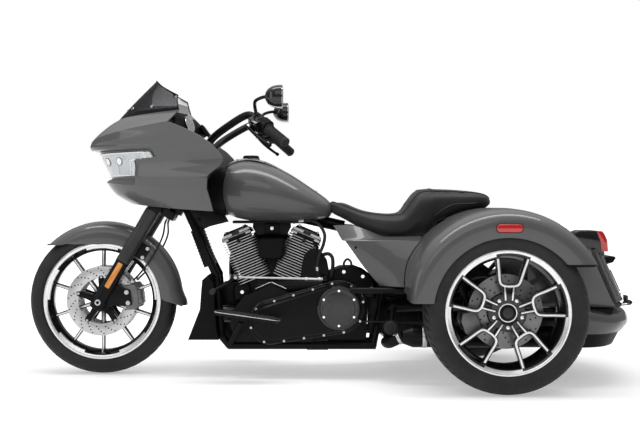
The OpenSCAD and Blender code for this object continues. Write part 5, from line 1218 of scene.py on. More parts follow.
def buildFrontEnd(w):
    skirt = np.array(sorted(w["skirt"]))
    place = axlePlace(trike["frontX"] + 6, 0, trike["frontZ"] + 3)
    grid = []
    half = np.array([(0, 0), (0.13, 0.4), (0.26, 1.4), (0.4, 3.2), (0.52, 5.6), (0.64, 9.4), (0.75, 14.4),
                     (0.85, 21.4), (0.92, 29), (0.97, 37.5), (1, 48)])
    for t in np.linspace(skirt[-1, 0], skirt[0, 0], 90):
        crest = w["crest"] + (w["tailCrest"] - w["crest"]) * ease((12 - t) / 16.0) ** 2
        low = np.interp(t, skirt[:, 0], skirt[:, 1])
        side = [(max(crest - d, low), s * w["half"]) for s, d in half]
        foot = side[-1][0]
        side += [(lerp(foot, min(foot, low), k / 6), w["half"] + 0.8 * math.sin(math.pi * k / 6))
                 for k in range(1, 7)]
        c, s = math.cos(math.radians(t)), math.sin(math.radians(t))
        line = [(r * c, r * s, y) for r, y in side[::-1]] + [(r * c, r * s, -y) for r, y in side[1:]]
        grid.append(line)
    g = place(np.array(grid).reshape(-1, 3)).reshape(len(grid), -1, 3)
    if np.dot(gridNormals(g)[45, len(g[0]) // 2], [0, 0, 1]) < 0:
        g = g[::-1]
    piece("frontFender", "steering", [panelPart(g, w["thick"], "bodyPaint")], ["front_fender"], angle=40)
    parts, spots = [], []
    for side in (-1, 1):  # stays between the fender and the fork covers
        at = forkPlace(276, -26, side * 82.2)
        upright = lambda v, at=at: at(v[:, [0, 2, 1]])
        parts.append(extrudePart(roundRect(92, 70, 12), -4.6, 4.6, "satinBlack", upright))
        for x, z in ((-34, -22), (34, -22), (34, 22)):
            spots.append(aimed(at, (x, side * 3.6, z), (0, side, 0)))
    piece("fenderStays", "steering", parts, (), bevel=1.5)
    screws("fenderScrews", "steering", spots, 6, 4, "zinc")
    parts, lamps, spots = [], [], []
    legY = trike["legY"]
    axle = lambda y: axlePlace(trike["frontX"], y, trike["frontZ"])
    spin = lambda v, y: turned(axle(y), 8)(v)  # the calipers sit a little above the axle's level
    for side in (-1, 1):
        at = forkPlace(0, 0, side * legY)
        parts += [revolvePart([(0, -34), (24, -34), (28, -30), (29, -20), (29, 188), (30.5, 192), (30.5, 200),
                               (0, 200)], "satinBlack", at, 48),
                  revolvePart([(0, 199), (29, 199), (31, 204), (31, 214), (30.2, 216), (30.2, 400), (31, 404),
                               (31, 452), (29, 453.6), (0, 453.6)], "charcoal", at, 48)]
        lug = [(13, -21), (27, -21), (30, -18), (30, 18), (27, 21), (13, 21)]
        parts.append(revolvePart(lug, "satinBlack", axle(side * legY), 48))
        plate = np.array([(20, -20), (104, -33), (128, -34), (137, -28), (138, 28), (130, 36), (84, 58), (60, 66),
                          (32, 86), (16, 70)])
        parts.append(extrudePart(plate, -10, 10, "satinBlack", lambda v, y=side * 110.5: spin(v, y)))
        for x, y in ((122, -22), (122, 24), (44, 56)):
            spots.append(aimed(lambda v, s=side: spin(v, s * 110.5), (x, y, -side * 10), (0, 0, -side)))
        at = forkPlace(134, 0, side * (legY + 29.2))
        turnOut = lambda v, at=at, side=side: at(np.stack([v[:, 0], side * v[:, 2], v[:, 1]], 1))
        lamps += [extrudePart(roundRect(25, 125, 6), 0, 4, "mouldedBlack", turnOut),
                  roundStack([(22, 121, 5, 3.5), (22, 121, 5, 5), (19, 117, 4, 6)], "amberLens", turnOut)]
    piece("forkLegs", "steering", parts, ["fork_legs"], bevel=0.6)
    piece("forkReflectors", "steering", lamps, ["fork_reflectors"], bevel=0.4)
    screws("caliperScrews", "steering", spots, 7, 5, "zinc")
    # calipers: two cast halves with ribs, bridged over the disc
    parts = []
    outline = np.array([(-26, -50), (-22, -52), (16, -55), (24, -53), (33, -32), (34, -28), (34, 28), (33, 32),
                        (24, 53), (16, 55), (-22, 52), (-26, 50)], float)
    bridge = np.array([(25, -48), (33, -30), (34, -26), (34, 26), (33, 30), (25, 48)], float)
    for side in (-1, 1):
        at = lambda v, side=side: spin(np.stack([v[:, 0] + 132, v[:, 1], v[:, 2]], 1), side * 68)
        for s in (-1, 1):
            parts.append(stackPart([(outline, s * 4.8), (outline, s * 26), (outline * 0.95, s * 30),
                                    (outline * 0.88, s * 31)], "castGrey", at))
            for y in (-26, 0, 26):
                parts.append(stackPart([(circlePoints(11, 24, (-4, y)), s * 30),
                                        (circlePoints(10, 24, (-4, y)), s * 31)], "satinBlack", at))
        parts.append(extrudePart(bridge, -6, 6, "castGrey", at))
        for y in (-36, -18, 0, 18, 36):
            parts.append(boxPart((14, y - 2.5, -30.6), (35, y + 2.5, 30.6), "castGrey", at))
    piece("frontCalipers", "steering", parts, ["front_calipers"], bevel=1.2, angle=40)
    # brake hoses: behind the fork, height along it from the lower clamp, distance from the middle
    run = [(64, -17.8, 48), (65, -40, 50), (88, -90, 84), (96, -160, 92), (92, -240, 92), (84, -290, 90),
           (74, -326, 80)]
    for side, label in ((-1, "Left"), (1, "Right")):
        path = smoothRows([forkPoint(470 + h, -back, side * y) for back, h, y in run], 48)
        hose = piece("brakeHose" + label, "steering", [tubePart(path, 4, "softRubber", 12)], ["brake_hoses"],
                     angle=60)
        ends = [rodPart(path[0], path[2], 5.6, "zinc", 6), rodPart(path[-3], path[-1], 5.6, "zinc", 6),
                rodPart(path[-1] - [0, 5, 0], path[-1] + [0, 5, 0], 7.5, "zinc", 20)]
        piece("hoseEnds" + label, "steering", ends, (), bevel=0.4)
    print("front end")


buildFrontEnd(frontEnd)

# seat: a covered foam pad, swollen under its cover, with piping and stitching
seat = {"front": 8.0, "rear": 707.5, "half": 200.0, "shrink": 6.0, "voxel": 0.0055, "pressure": 4.0, "cap": 0.007,
        "frames": 20, "deckR": 404.0, "deckGap": 1.2, "deckReach": 220.0,
        # share of the length, share of half width, low, high
        "stations": [(0, 0.3, 716, 758), (0.03, 0.4, 700, 762), (0.1, 0.56, 676, 742), (0.2, 0.78, 636, 712),
                     (0.32, 0.96, 600, 698), (0.41, 1, 596, 698), (0.455, 1, 596, 712), (0.495, 1, 596, 752),
                     (0.535, 0.98, 598, 792), (0.575, 0.96, 602, 803), (0.61, 0.93, 616, 804), (0.66, 0.87, 664, 803),
                     (0.76, 0.82, 690, 800), (0.88, 0.78, 716, 792), (0.96, 0.7, 724, 780), (1, 0.5, 726, 758)]}


def seatRing(row, w, inset, n=64):
    x = lerp(w["front"], w["rear"], row[0])
    deck = trike["rearZ"] + math.sqrt(max(0.0, w["deckR"] ** 2 - (x - trike["rearX"]) ** 2)) + w["deckGap"]
    low = max(row[2], deck) if x > trike["rearX"] - w["deckReach"] else row[2]
    return ringSection(x, row[1] * w["half"] - inset, low + 0.4 * inset, row[3] - inset, n, 0.5)


def buildSeat(w):
    fine = smoothRows(w["stations"], 60)
    body, s = [], w["shrink"]
    for i, row in enumerate(fine):
        ring = seatRing(row, w, s)
        if i in (0, 60):
            ring[:, 0] += s if i == 0 else -s
        body.append(ring)
    pad = addObject("seatPad", newMesh("seatPad", [loftPart(body, "seatCover")]))
    cleanMesh(pad.data)
    re = pad.modifiers.new("even", "REMESH")
    re.mode, re.voxel_size = "VOXEL", w["voxel"]
    bake(pad)
    moved = start = readPoints(pad.data)
    cloth = pad.modifiers.new("swell", "CLOTH")
    cs = cloth.settings
    cs.use_pressure, cs.uniform_pressure_force = True, w["pressure"]
    cs.effector_weights.gravity = 0
    cs.quality, cs.mass = 5, 0.3
    cs.tension_stiffness, cs.compression_stiffness, cs.shear_stiffness, cs.bending_stiffness = 20, 20, 10, 1.2
    cloth.collision_settings.use_collision = False
    scene.frame_start, scene.frame_end = 1, w["frames"]
    cloth.point_cache.frame_start, cloth.point_cache.frame_end = 1, w["frames"]
    for k in range(1, w["frames"] + 1):
        scene.frame_set(k)
    bake(pad)
    moved = readPoints(pad.data)
    push = moved - start
    size = np.linalg.norm(push, axis=1, keepdims=True)
    push *= np.minimum(1, w["cap"] / np.maximum(size, 1e-9))
    pad.data.vertices.foreach_set("co", (start + push).ravel())
    even = pad.modifiers.new("relax", "SMOOTH")
    even.factor, even.iterations = 0.5, 4
    sub = pad.modifiers.new("fine", "SUBSURF")
    sub.levels = sub.render_levels = 1
    bake(pad)
    pad.data.materials.clear()
    pad.data.materials.append(finish["seatCover"])
    shade(pad.data, 180)
    settle(pad, "chassis", ["seat"])
    print("seat pad:", len(pad.data.polygons), "faces, moved up to", round(float(size.max()) * 1000, 1), "mm")
    # piping and stitches lie on the finished pad
    tree = BVHTree.FromPolygons([v.co for v in pad.data.vertices], [p.vertices[:] for p in pad.data.polygons])

    def drape(points, lift):
        out = []
        for p in points:
            at, normal = tree.find_nearest(Vector(p) * 0.001)[:2]
            out.append(np.array(at) * 1000 + lift * np.array(normal))
        return np.array(out)

    parts, threads = [], []
    rings = [seatRing(row, w, 2.0, 128) for row in fine]
    for side in (1, -1):  # along both sides, where the top panel meets the side panel
        k = 20 if side > 0 else 44
        line = drape([rings[i][k] for i in range(3, 59)], 1.0)
        parts.append(tubePart(smoothRows(line, 160), 2.6, "seatCover", 10))
        arc = smoothRows([(462, side * 176, 684), (496, side * 174, 716), (528, side * 172, 732),
                          (564, side * 170, 738), (640, side * 160, 738)], 60)
        parts.append(tubePart(drape(arc, 1.0), 2.4, "charcoal", 10))
        k = 25 if side > 0 else 39
        threads.append(drape([rings[i][k] for i in range(3, 59)], 0.5))
    for i in (27, 34, 41):  # across: the step between the two places, and the pillion panel
        line = drape([rings[i][k] for k in range(20, 45)], 0.8)
        parts.append(tubePart(smoothRows(line, 90), 2.2, "seatCover", 10))
        threads.append(drape([rings[i + 1][k] for k in range(22, 43)], 0.5))
    piece("seatPiping", "chassis", parts, (), angle=60)
    for n, line in enumerate(threads):
        line = smoothRows(line, 200)
        mesh = bpy.data.meshes.new("stitchLine")
        mesh.from_pydata((line * 0.001).tolist(), [(k, k + 1) for k in range(len(line) - 1)], [])
        obj = addObject("seatStitches%d" % n, mesh)
        runTree(obj, "stitch", "charcoal", {"Length": 0.0055, "Gap": 0.0085, "Thread": 0.0009})
        shade(obj.data, 40)
        settle(obj, "chassis", ())
    print("seat")


buildSeat(seat)

# side panels, rear fenders with their deck, trunk, door, bumper and lamps
rearBody = {"deckR": 403.6, "frontReach": 376.0, "rearCut": 187.0, "frontCut": 38.0, "thick": 4.6, "half": 440.0,
            "crown": 80.0, "bow": 2.6, "hinge": (1256.0, 240.0, 331.0), "trunkFront": 801.5,
            "trunkLow": 320.0, "highFront": 702.4, "highRear": 556.0, "doorFoot": 1234.0, "doorLean": 24.0,
            "fender": [(402.8, 440.5), (402.2, 520), (400.2, 585), (395, 632), (384, 666), (366, 684), (346, 689.2),
                       (318, 689.4), (292, 687.5)],
            # panel rows from the top down: front x, front y, rear y, front z, rear z
            "panel": [(26.5, 150, 170, 648, 604), (58.5, 184, 272, 590, 588), (72.5, 196, 290, 584, 586),
                      (100.5, 201, 302, 545, 545), (154.5, 207, 314, 470, 470), (218.5, 214, 324, 396, 396)],
            # bumper in plan: share of half width, x; and its rows: z, set forward, share
            "plan": [(1.0, 1030), (1.0, 1075), (0.985, 1115), (0.94, 1154), (0.86, 1190), (0.7, 1230), (0.545, 1254),
                     (0.3, 1282), (0, 1297)],
            "bumper": [(156, 58, 0.9), (206, 34, 0.95), (214, 24, 0.97), (250, 0, 1), (284, 12, 1), (300, 34, 0.99),
                       (310, 60, 0.97), (317, 84, 0.95)]}


def facing(grid, toward):  # turns a grid so that its front looks that way
    g = np.asarray(grid, float)
    return g if float((gridNormals(g) * np.asarray(toward, float)).sum()) > 0 else g[::-1]


def deckPoint(r, degrees, y):  # round the rear axle, with the front end drawn straight down
    x, z = r * math.cos(math.radians(degrees)), r * math.sin(math.radians(degrees))
    reach = rearBody["frontReach"]
    if -x > reach - 36:
        x = 36 - reach - 36 * math.tanh((36 - reach - x) / 36)
    return [trike["rearX"] + x, y, trike["rearZ"] + z]


def rearPlane(z):
    return rearBody["doorFoot"] - (z - rearBody["trunkLow"]) * math.tan(math.radians(rearBody["doorLean"]))


def densify(outline, step):  # extra points on the long sides of a closed outline
    out = []
    for k, a in enumerate(outline):
        b = outline[(k + 1) % len(outline)]
        n = max(1, int(np.linalg.norm(b - a) // step))
        out += [a + (b - a) * i / n for i in range(n)]
    return np.array(out)


def trunkRing(w, t, inset):
    low, high = w["trunkLow"] + inset, lerp(w["highFront"], w["highRear"], t) - inset
    ring = densify(roundRect(2 * (w["half"] - inset), high - low, 42, 8), 26.0)
    pts = []
    for y, z in ring:
        z += (low + high) / 2
        pts.append([lerp(w["trunkFront"] + inset, rearPlane(z) - w["crown"] * abs(y / w["half"]) ** w["bow"], t), y,
                    z])
    return pts


def buildRearBody(w):
    rx, rz = trike["rearX"], trike["rearZ"]
    shells, trims = [], []
    section = smoothRows(w["fender"], 34)
    for side in (-1, 1):
        grid = []
        for r, y in section:
            a0 = math.degrees(math.asin(w["rearCut"] / r))
            a1 = 180 - math.degrees(math.asin(w["frontCut"] / r))
            grid.append([deckPoint(r, a, side * y) for a in np.linspace(a0, a1, 110)])
        g = facing(grid, (0, side, 0.5))
        shells.append(panelPart(g, w["thick"], "bodyPaint"))
        liner = g - 6.4 * gridNormals(g)
        far = liner[:24] if abs(g[0, 0, 1]) < 600 else liner[-24:]
        trims.append(panelPart(far, 1.8, "mouldedBlack"))
        edge = g[-1] if abs(g[0, 0, 1]) < 600 else g[0]
        trims.append(tubePart(edge - [0, side * 2.6, 0], 3.0, "bodyPaint", 8))
        back = g[:, 0] if g[3, 0, 0] > g[3, -1, 0] else g[:, -1]
        back = sorted(back.tolist(), key=lambda p: abs(p[1]))
        trims.append(tubePart(np.array(back[12:]) - [4, side * 3, 4], 5.5, "mouldedBlack", 10))
        leg = facing([[deckPoint(w["deckR"], a, side * y) for a in np.linspace(117.5, 172, 50)]
                      for y in np.linspace(201, 445, 16)], (-0.5, 0, 1))
        shells.append(panelPart(leg, w["thick"], "bodyPaint"))
    deck = facing([[deckPoint(w["deckR"], a, y) for a in np.linspace(59, 118, 44)]
                   for y in np.linspace(-446, 446, 40)], (0, 0, 1))
    shells.append(panelPart(deck, w["thick"], "bodyPaint"))
    piece("rearFenders", "chassis", shells, ["rear_fenders"], angle=40)
    piece("fenderTrims", "chassis", trims, (), angle=50)
    # panels below the seat, with a narrow ledge above their faces
    rows = np.array(w["panel"], float)
    rows = np.concatenate([np.linspace(rows[0], rows[1], 9)[:-1], np.linspace(rows[1], rows[2], 4)[:-1],
                           smoothRows(rows[2:], 30)])
    parts = []
    for side in (-1, 1):
        grid = []
        for x0, y0, y1, z0, z1 in rows:
            x1 = deckPoint(w["deckR"], 180 - math.degrees(math.asin((z1 - rz) / w["deckR"])), 0)[0] - 3.2
            line = []
            for t in np.linspace(0, 1, 41):
                x, z = lerp(x0, x1, t), lerp(z0, z1, t)
                if z0 > 590:  # the ledge climbs to the seat's lower edge
                    rise = np.interp(x, (26, 80, 110, 150, 200, 235, 400), (648, 650, 648, 636, 616, 604, 604))
                    z = lerp(588, rise, (z0 - 590) / 58)
                flat = 196 + 0.3 * (x - 72.5) + 0.08 * (584 - z)
                line.append([x, side * lerp(lerp(y0, y1, t), flat, 0.55 if z0 < 590 else 0), z])
            grid.append(line)
        parts.append(panelPart(facing(grid, (0, side, 0.2)), 4.0, "bodyPaint"))
    piece("sidePanels", "chassis", parts, ["side_panels"], bevel=0.6, angle=20)
    screws("panelScrews", "chassis", [((118, s * 210, 556), (0, s, 0)) for s in (-1, 1)], 4.5, 3.5, "satinBlack")
    # trunk: a hollow body open at the back, and its curved door
    steps = np.linspace(0, 1, 13)
    outer, inner = [trunkRing(w, t, 0) for t in steps], [trunkRing(w, t, 8) for t in steps[::-1]]
    count = min(len(r) for r in outer + inner)
    resized = []
    for r in outer + inner:
        r = np.array(r)
        pick = np.linspace(0, len(r), count, endpoint=False)
        closed = np.vstack([r, r[:1]])
        resized.append(np.stack([np.interp(pick, np.arange(len(closed)), closed[:, c]) for c in range(3)], 1))
    front = [resized[0] + [1.0, 0, 0], resized[0] + [9.0, 0, 0]]
    for ring in front:
        ring[:, 1:] = (ring[:, 1:] - [0, 511]) * 0.985 + [0, 511]
    mid = len(steps)
    parts = [loftPart(resized, "bodyPaint", True), loftPart(front, "mouldedBlack")]
    lining = [p * [1, 0.996, 1] for p in resized[mid:]]
    lining = [np.column_stack([p[:, 0] - 4, p[:, 1], (p[:, 2] - 440) * 0.99 + 440]) for p in lining]
    parts.append(loftPart([*lining, *[q * [1, 0.99, 1] for q in lining[::-1]]], "mouldedBlack", True))
    mouth = resized[mid - 1]
    parts.append(tubePart((mouth - [0, 0, 440]) * [1, 0.985, 0.97] + [6, 0, 440], 5.2, "softRubber", 10, True))
    hingeX, hingeY, hingeZ = w["hinge"]
    for y in (-hingeY, hingeY):
        at = axlePlace(hingeX, y, hingeZ)
        parts.append(revolvePart([(0, -42), (5, -42), (5, 42), (0, 42)], "zinc", at, 20))
        for s in (-38, 38):
            parts.append(extrudePart([(-70, -17), (0, -11), (8, -4), (9, 2), (5, 7), (-5, 7), (-12, -8), (-70, -10)],
                                     s - 4, s + 4, "bodyPaint", at))
    piece("trunkBody", "chassis", parts, ["trunk_shell"], bevel=0.0, angle=30)
    doorPoint = lambda z, u, lift: [rearPlane(z) + lift - w["crown"] * abs(u) ** w["bow"], u * (w["half"] - 10), z]
    grid = [[doorPoint(z, u, 27) for u in np.linspace(-1, 1, 61)] for z in np.linspace(345, 558, 40)]
    parts = [panelPart(facing(grid, (1, 0, 0.3)), 14, "bodyPaint")]
    for y in (-hingeY, hingeY):
        at = axlePlace(hingeX, y, hingeZ)
        parts.append(revolvePart([(5.8, -30), (9, -30), (9, 30), (5.8, 30)], "bodyPaint", at, 24))
        parts.append(boxPart((1243, y - 30, 336), (1249, y + 30, 358), "bodyPaint"))
    across = np.linspace(-0.94, 0.94, 50)
    seam = [doorPoint(366, u, 28.4) for u in across] + [doorPoint(536, u, 28.4) for u in across[::-1]]
    parts.append(tubePart(seam, 1.6, "bodyPaint", 8, True))
    latch = [[rearPlane(548) + 30, y, 548] for y in np.linspace(-46, 46, 14)]
    parts.append(tubePart(latch, 7, "satinBlack", 12))
    piece("trunkDoor", "trunk_door", parts, ["trunk_door"], bevel=2.5, angle=34, segments=3)
    # bumper: painted above, black valance below
    half = smoothRows(w["plan"], 30)
    plan = [(a, x, -1) for a, x in half] + [(a, x, 1) for a, x in half[::-1][1:]]
    rows = [smoothRows(w["bumper"][2:], 26), np.array(smoothRows(w["bumper"][:3], 12))]
    parts = []
    for rr, m in zip(rows, ("bodyPaint", "mouldedBlack")):
        grid = [[[x - ahead, s * a * share * w["half"], z] for a, x, s in plan] for z, ahead, share in rr]
        parts.append(panelPart(facing(grid, (1, 0, 0)), 4.8, m))
    parts.append(boxPart((905, -414, 296), (1150, 414, 316), "mouldedBlack"))
    piece("rearBumper", "chassis", parts, ["rear_bumper"], bevel=0.8, angle=34)
    # tail lamps: dark housings with ribbed red lenses, and the side markers
    fall = (w["highRear"] - w["highFront"]) / (rearPlane(w["highRear"]) - w["trunkFront"])
    lampZ = lerp(w["highFront"], w["highRear"],
                 (1061.5 - w["trunkFront"]) / (rearPlane(w["highRear"]) - w["trunkFront"]))
    parts, lens = [], []
    for side in (-1, 1):
        at = axlePlace(1058, side * 352, lampZ - 15)
        house = np.array([(-66, -14 - 66 * fall), (-64, 40), (-58, 54), (-40, 61), (20, 61), (40, 59), (47, 52),
                          (60, 20), (62, -16 + 64 * fall)])
        parts.append(stackPart([(house * 0.94 + [0, 1.6], -52), (house, -46), (house, 46),
                                (house * 0.94 + [0, 1.6], 52)], "glossBlack", at))
        glass = np.array([(27, 58.6), (50, 58.4), (56, 54), (66, 36), (72, 20), (75.6, 4 + 64 * fall),
                          (48, 4 + 64 * fall), (43, 20), (31, 50)])
        lens.append(stackPart([(glass * 0.97 + [1.6, 0.4], -53.6), (glass, -50), (glass, 50),
                               (glass * 0.97 + [1.6, 0.4], 53.6)], "redLens", at))
        for k in range(5):
            y = -36 + 18 * k
            lens.append(boxPart((70, y - 1.4, 2), (73.6, y + 1.4, 17), "redLens", at))
        mark = axlePlace(rx, side * 689.8, 646)
        out = -side
        lens.append(roundStack([(100, 30, 14, 0), (100, 30, 14, out * 4), (95, 25, 12, out * 6)], "redLens", mark))
        parts.append(extrudePart(roundRect(105, 35, 16), -out * 1.5, out * 2.2, "mouldedBlack", mark))
    piece("tailLamps", "chassis", parts, ["tail_lamps"], bevel=1.2, angle=36)
    piece("redLenses", "chassis", lens, ["red_lenses"], bevel=0.6, angle=36)
    print("rear body")


buildRearBody(rearBody)

# handlebar with its grips, controls, levers and mirrors
bars = {"base": (-582.6, 0.0, 845.3), "radius": 16.0, "span": 450.0, "gripR": 20.0, "mirror": (-218.5, 420.2, 1172.0),
        "mirrorHalf": (72.0, 46.0),
        # behind the stem, above it, share of half span
        "rows": [(38, 84, 0), (40, 84, 0.14), (62, 128, 0.28), (100, 175, 0.43), (180, 230, 0.53), (242, 262, 0.6),
                 (275, 256, 0.656)], "end": (408, 142, 0.98)}


def buildBars(w):
    base = np.array(w["base"])
    at = lambda r, side: base + [r[0], side * r[2] * w["span"], r[1]]
    last, end = np.array(w["rows"][-1]), np.array(w["end"])
    table = w["rows"] + [tuple(lerp(last, end, t)) for t in (0.12, 0.3, 0.6, 1.0)]
    path = [at(r, -1) for r in table[::-1]] + [at(r, 1) for r in table[1:]]
    parts = [tubePart(smoothRows(path, 150), w["radius"], "satinBlack", 24)]
    for side in (-1, 1):  # risers with their caps
        foot = at((0, 12, 46 / w["span"]), side)
        top = at((40, 84, 46 / w["span"]), side)
        parts.append(tubePart([foot, lerp(foot, top, 0.7), top], [18, 17, 20], "satinBlack", 24))
        parts.append(rodPart(top - [0, 17, 0], top + [0, 17, 0], 21.5, "satinBlack", 32))
    piece("handlebar", "steering", parts, ["handlebar"], angle=40)
    grips, housings, levers, mirrors, spots = [], [], [], [], []
    for side, label in ((-1, "Left"), (1, "Right")):
        a, b = at(last, side), at(end, side)
        d = (b - a) / np.linalg.norm(b - a)
        full = float(np.linalg.norm(b - a))
        ahead = np.array([-1.0, 0, 0]) - d * -d[0]
        ahead /= np.linalg.norm(ahead)
        up = np.cross(d, ahead)
        if up[2] < 0:
            up = -up
        place = lambda v, a=a, d=d, ahead=ahead, up=up: a + v[:, [0]] * ahead + v[:, [1]] * up + v[:, [2]] * d
        r = w["gripR"]
        grips.append(revolvePart([(16.8, 112), (23, 112), (24, 114), (24, 118), (r, 122), (r - 0.6, full - 8),
                                  (r + 1.2, full - 4), (r + 1.2, full + 4), (r - 2, full + 8), (0, full + 8),
                                  (0, full + 1), (16.8, full + 1)], "softRubber", place, 48))
        rib = boxPart((r - 1.4, -1.5, 126), (r + 0.8, 1.5, full - 12), None)
        repeated("gripRibs" + label, "steering", [rib], "ring", {"Count": 22}, "softRubber", place)
        housings.append(roundStack([(46, 46, 15, 61), (58, 54, 17, 65), (58, 54, 17, 107), (48, 46, 15, 111)],
                                   "mouldedBlack", place))
        housings.append(outlineRing(roundRect(59, 55, 17), roundRect(56, 52, 16), 85, 86.4, "satinBlack", place))
        for x, y, z, ww, hh, m in ((-27, 8, 72, 6, 5, "charcoal"), (-27, 8, 84, 6, 5, "charcoal"),
                                   (-27, 8, 96, 6, 5, "redLens"), (-27, -8, 78, 8, 5, "charcoal"),
                                   (-27, -8, 94, 8, 5, "charcoal")):
            housings.append(boxPart((x - 5, y - hh / 2, z - ww / 2), (x, y + hh / 2, z + ww / 2), m, place))
        out = np.array([-44.0, side * 8.0, -22.0])
        levers.append(roundStack([(44, 44, 15, 34), (49, 49, 16, 38), (49, 49, 16, 56), (44, 44, 15, 60)],
                                 "satinBlack", place))
        levers.append(boxPart((20, -14, 30), (44, 14, 92), "satinBlack", place))
        levers.append(boxPart((24, 12, 36), (50, 32, 88), "glossBlack", place))
        pivot = a + d * 47 + out
        levers.append(tubePart([a + d * 47 + out * 0.45, pivot], [10, 9], "satinBlack", 16))
        levers.append(rodPart(pivot - up * 12, pivot + up * 12, 9, "zinc", 20))
        ahead2 = out / np.linalg.norm(out)
        blade = [a + d * (40 + (full - 60) * t) + out * (1 + 0.05 * t) + ahead2 * 7 * math.sin(math.pi * t)
                 for t in np.linspace(0, 1, 24)]
        levers.append(tubePart(blade, [8.5 - 3 * t + (2.6 if t > 0.95 else 0) for t in np.linspace(0, 1, 24)],
                               "satinBlack", 14))
        mirrors.append(roundStack([(40, 40, 14, 8), (48, 48, 16, 12), (48, 48, 16, 28), (40, 40, 14, 32)],
                                  "satinBlack", place))
        m = np.array([w["mirror"][0], side * w["mirror"][1], w["mirror"][2]])
        s = np.array([1, -side, 1.0])
        stalk = [a + d * 20 + [0, 0, 20], a + d * 20 + [-6, side * 6, 52], lerp(a + d * 20, m, 0.45) + [-34, 0, 34],
                 m + s * [-42, 36, 2], m + s * [-6, 10, 0]]
        mirrors.append(tubePart(smoothRows(stalk, 30), 7, "satinBlack", 16))
        rings = []
        for t in np.linspace(0, 1, 20):
            k = math.sqrt(max(0.03, 1 - t ** 2.7 * 0.97))
            ring = ringSection(0, w["mirrorHalf"][0] * k, -w["mirrorHalf"][1] * k, w["mirrorHalf"][1] * k, 56, 0.68)
            rings.append(m + ring + [34 - 70 * t, 0, 0])
        mirrors.append(loftPart(rings, "glossBlack"))
        pane = [m + ringSection(x, 67 * k, -41.5 * k, 41.5 * k, 56, 0.68)
                for x, k in ((33, 1.0), (34.8, 1.0), (35.2, 0.985))]
        mirrors.append(loftPart(pane, "mirrorGlass"))
        spots += [aimed(place, (50, y, z), (1, 0, 0)) for y, z in ((22, 46), (22, 78))]
    piece("grips", "steering", grips, ["grips"], angle=40)
    piece("switchHousings", "steering", housings, ["hand_controls"], bevel=1.2)
    piece("handLevers", "steering", levers, ["hand_levers"], bevel=1.0)
    piece("mirrors", "steering", mirrors, ["mirrors"], angle=42)
    screws("leverScrews", "steering", spots, 3.2, 2.6, "zinc")
    print("handlebar")


buildBars(bars)

# fuel tank with its console and cap
tank = {"half": 176.0, "cap": (-335.5, 34.0),
        # x, share of half width, low, high
        "stations": [(-459.5, 0.4, 726, 850), (-449.5, 0.68, 704, 886), (-413.5, 0.9, 684, 914),
                     (-343.5, 1, 668, 926), (-253.5, 1, 663, 908), (-163.5, 0.93, 663, 864), (-83.5, 0.79, 666, 812),
                     (-17.5, 0.61, 672, 766), (8.5, 0.43, 684, 742), (18.5, 0.28, 696, 726)]}


def buildTank(w):
    rows = smoothRows(w["stations"], 90)
    rings = []
    for x, share, low, high in rows:
        rings.append(ringSection(x, share * w["half"], low, high, 72, 0.74, 0.82))
    piece("fuelTank", "chassis", [loftPart(rings, "bodyPaint")], ["fuel_tank"], angle=50)
    strip = []
    for i in range(9, 84):
        x, z = rows[i][0], rows[i][3] - 1.5
        t = (i - 9) / 74
        h = lerp(15, 7.5, ease((t - 0.32) / 0.2))
        half = lerp(46, 29, t)
        strip.append([[x, half, z - 3], [x, half - 1, z + h * 0.55], [x, half * 0.86, z + h * 0.92],
                      [x, half * 0.5, z + h], [x, -half * 0.5, z + h], [x, -half * 0.86, z + h * 0.92],
                      [x, 1 - half, z + h * 0.55], [x, -half, z - 3]])
    parts = [loftPart(strip, "glossBlack")]
    for side in (1, -1):
        k = 1 if side > 0 else 6
        parts.append(tubePart([np.array(r[k]) + [0, side * 0.4, 0] for r in strip], 1.5, "chrome", 8))
    x, r = w["cap"]
    z = float(np.interp(x, rows[:, 0], rows[:, 3])) + 12.6
    at = lambda v: v + np.array([x, 0, z])
    parts += [revolvePart([(0, -6), (r + 4, -6), (r + 4, 0), (r, 2), (r, 9), (r - 2, 12), (r - 7, 13.4), (0, 14)],
                          "satinBlack", at, 64),
              revolvePart([(r + 3.4, -2), (r + 4.6, -1), (r + 4.6, 1), (r + 3.4, 1.6)], "chrome", at, 64)]
    piece("tankConsole", "chassis", parts, ["tank_console"], angle=36)
    grip = boxPart((r - 0.6, -1.4, 3), (r + 1.0, 1.4, 10), None)
    repeated("capGrip", "chassis", [grip], "ring", {"Count": 36}, "satinBlack", at)
    spots = [((lerp(-408, -30, t), s * lerp(38, 24, t), float(np.interp(lerp(-408, -30, t), rows[:, 0], rows[:, 3]))
               + lerp(12, 5.6, ease((t - 0.3) / 0.2))), (0.2, 0, 1))
             for t in (0.04, 0.5, 0.95) for s in (-1, 1)]
    screws("consoleScrews", "chassis", spots, 3.4, 2.6, "chrome")
    print("tank")


buildTank(tank)

# exhaust pipes with clamps and mufflers
exhaust = {"pipeR": 22.0, "mufflerR": 44.0, "mufflerX": 304.5, "mufflerY": 345.0, "mufflerZ": 196.0,
           "mufflerLen": 770.0, "portX": 136.04, "portZ": 568.44}


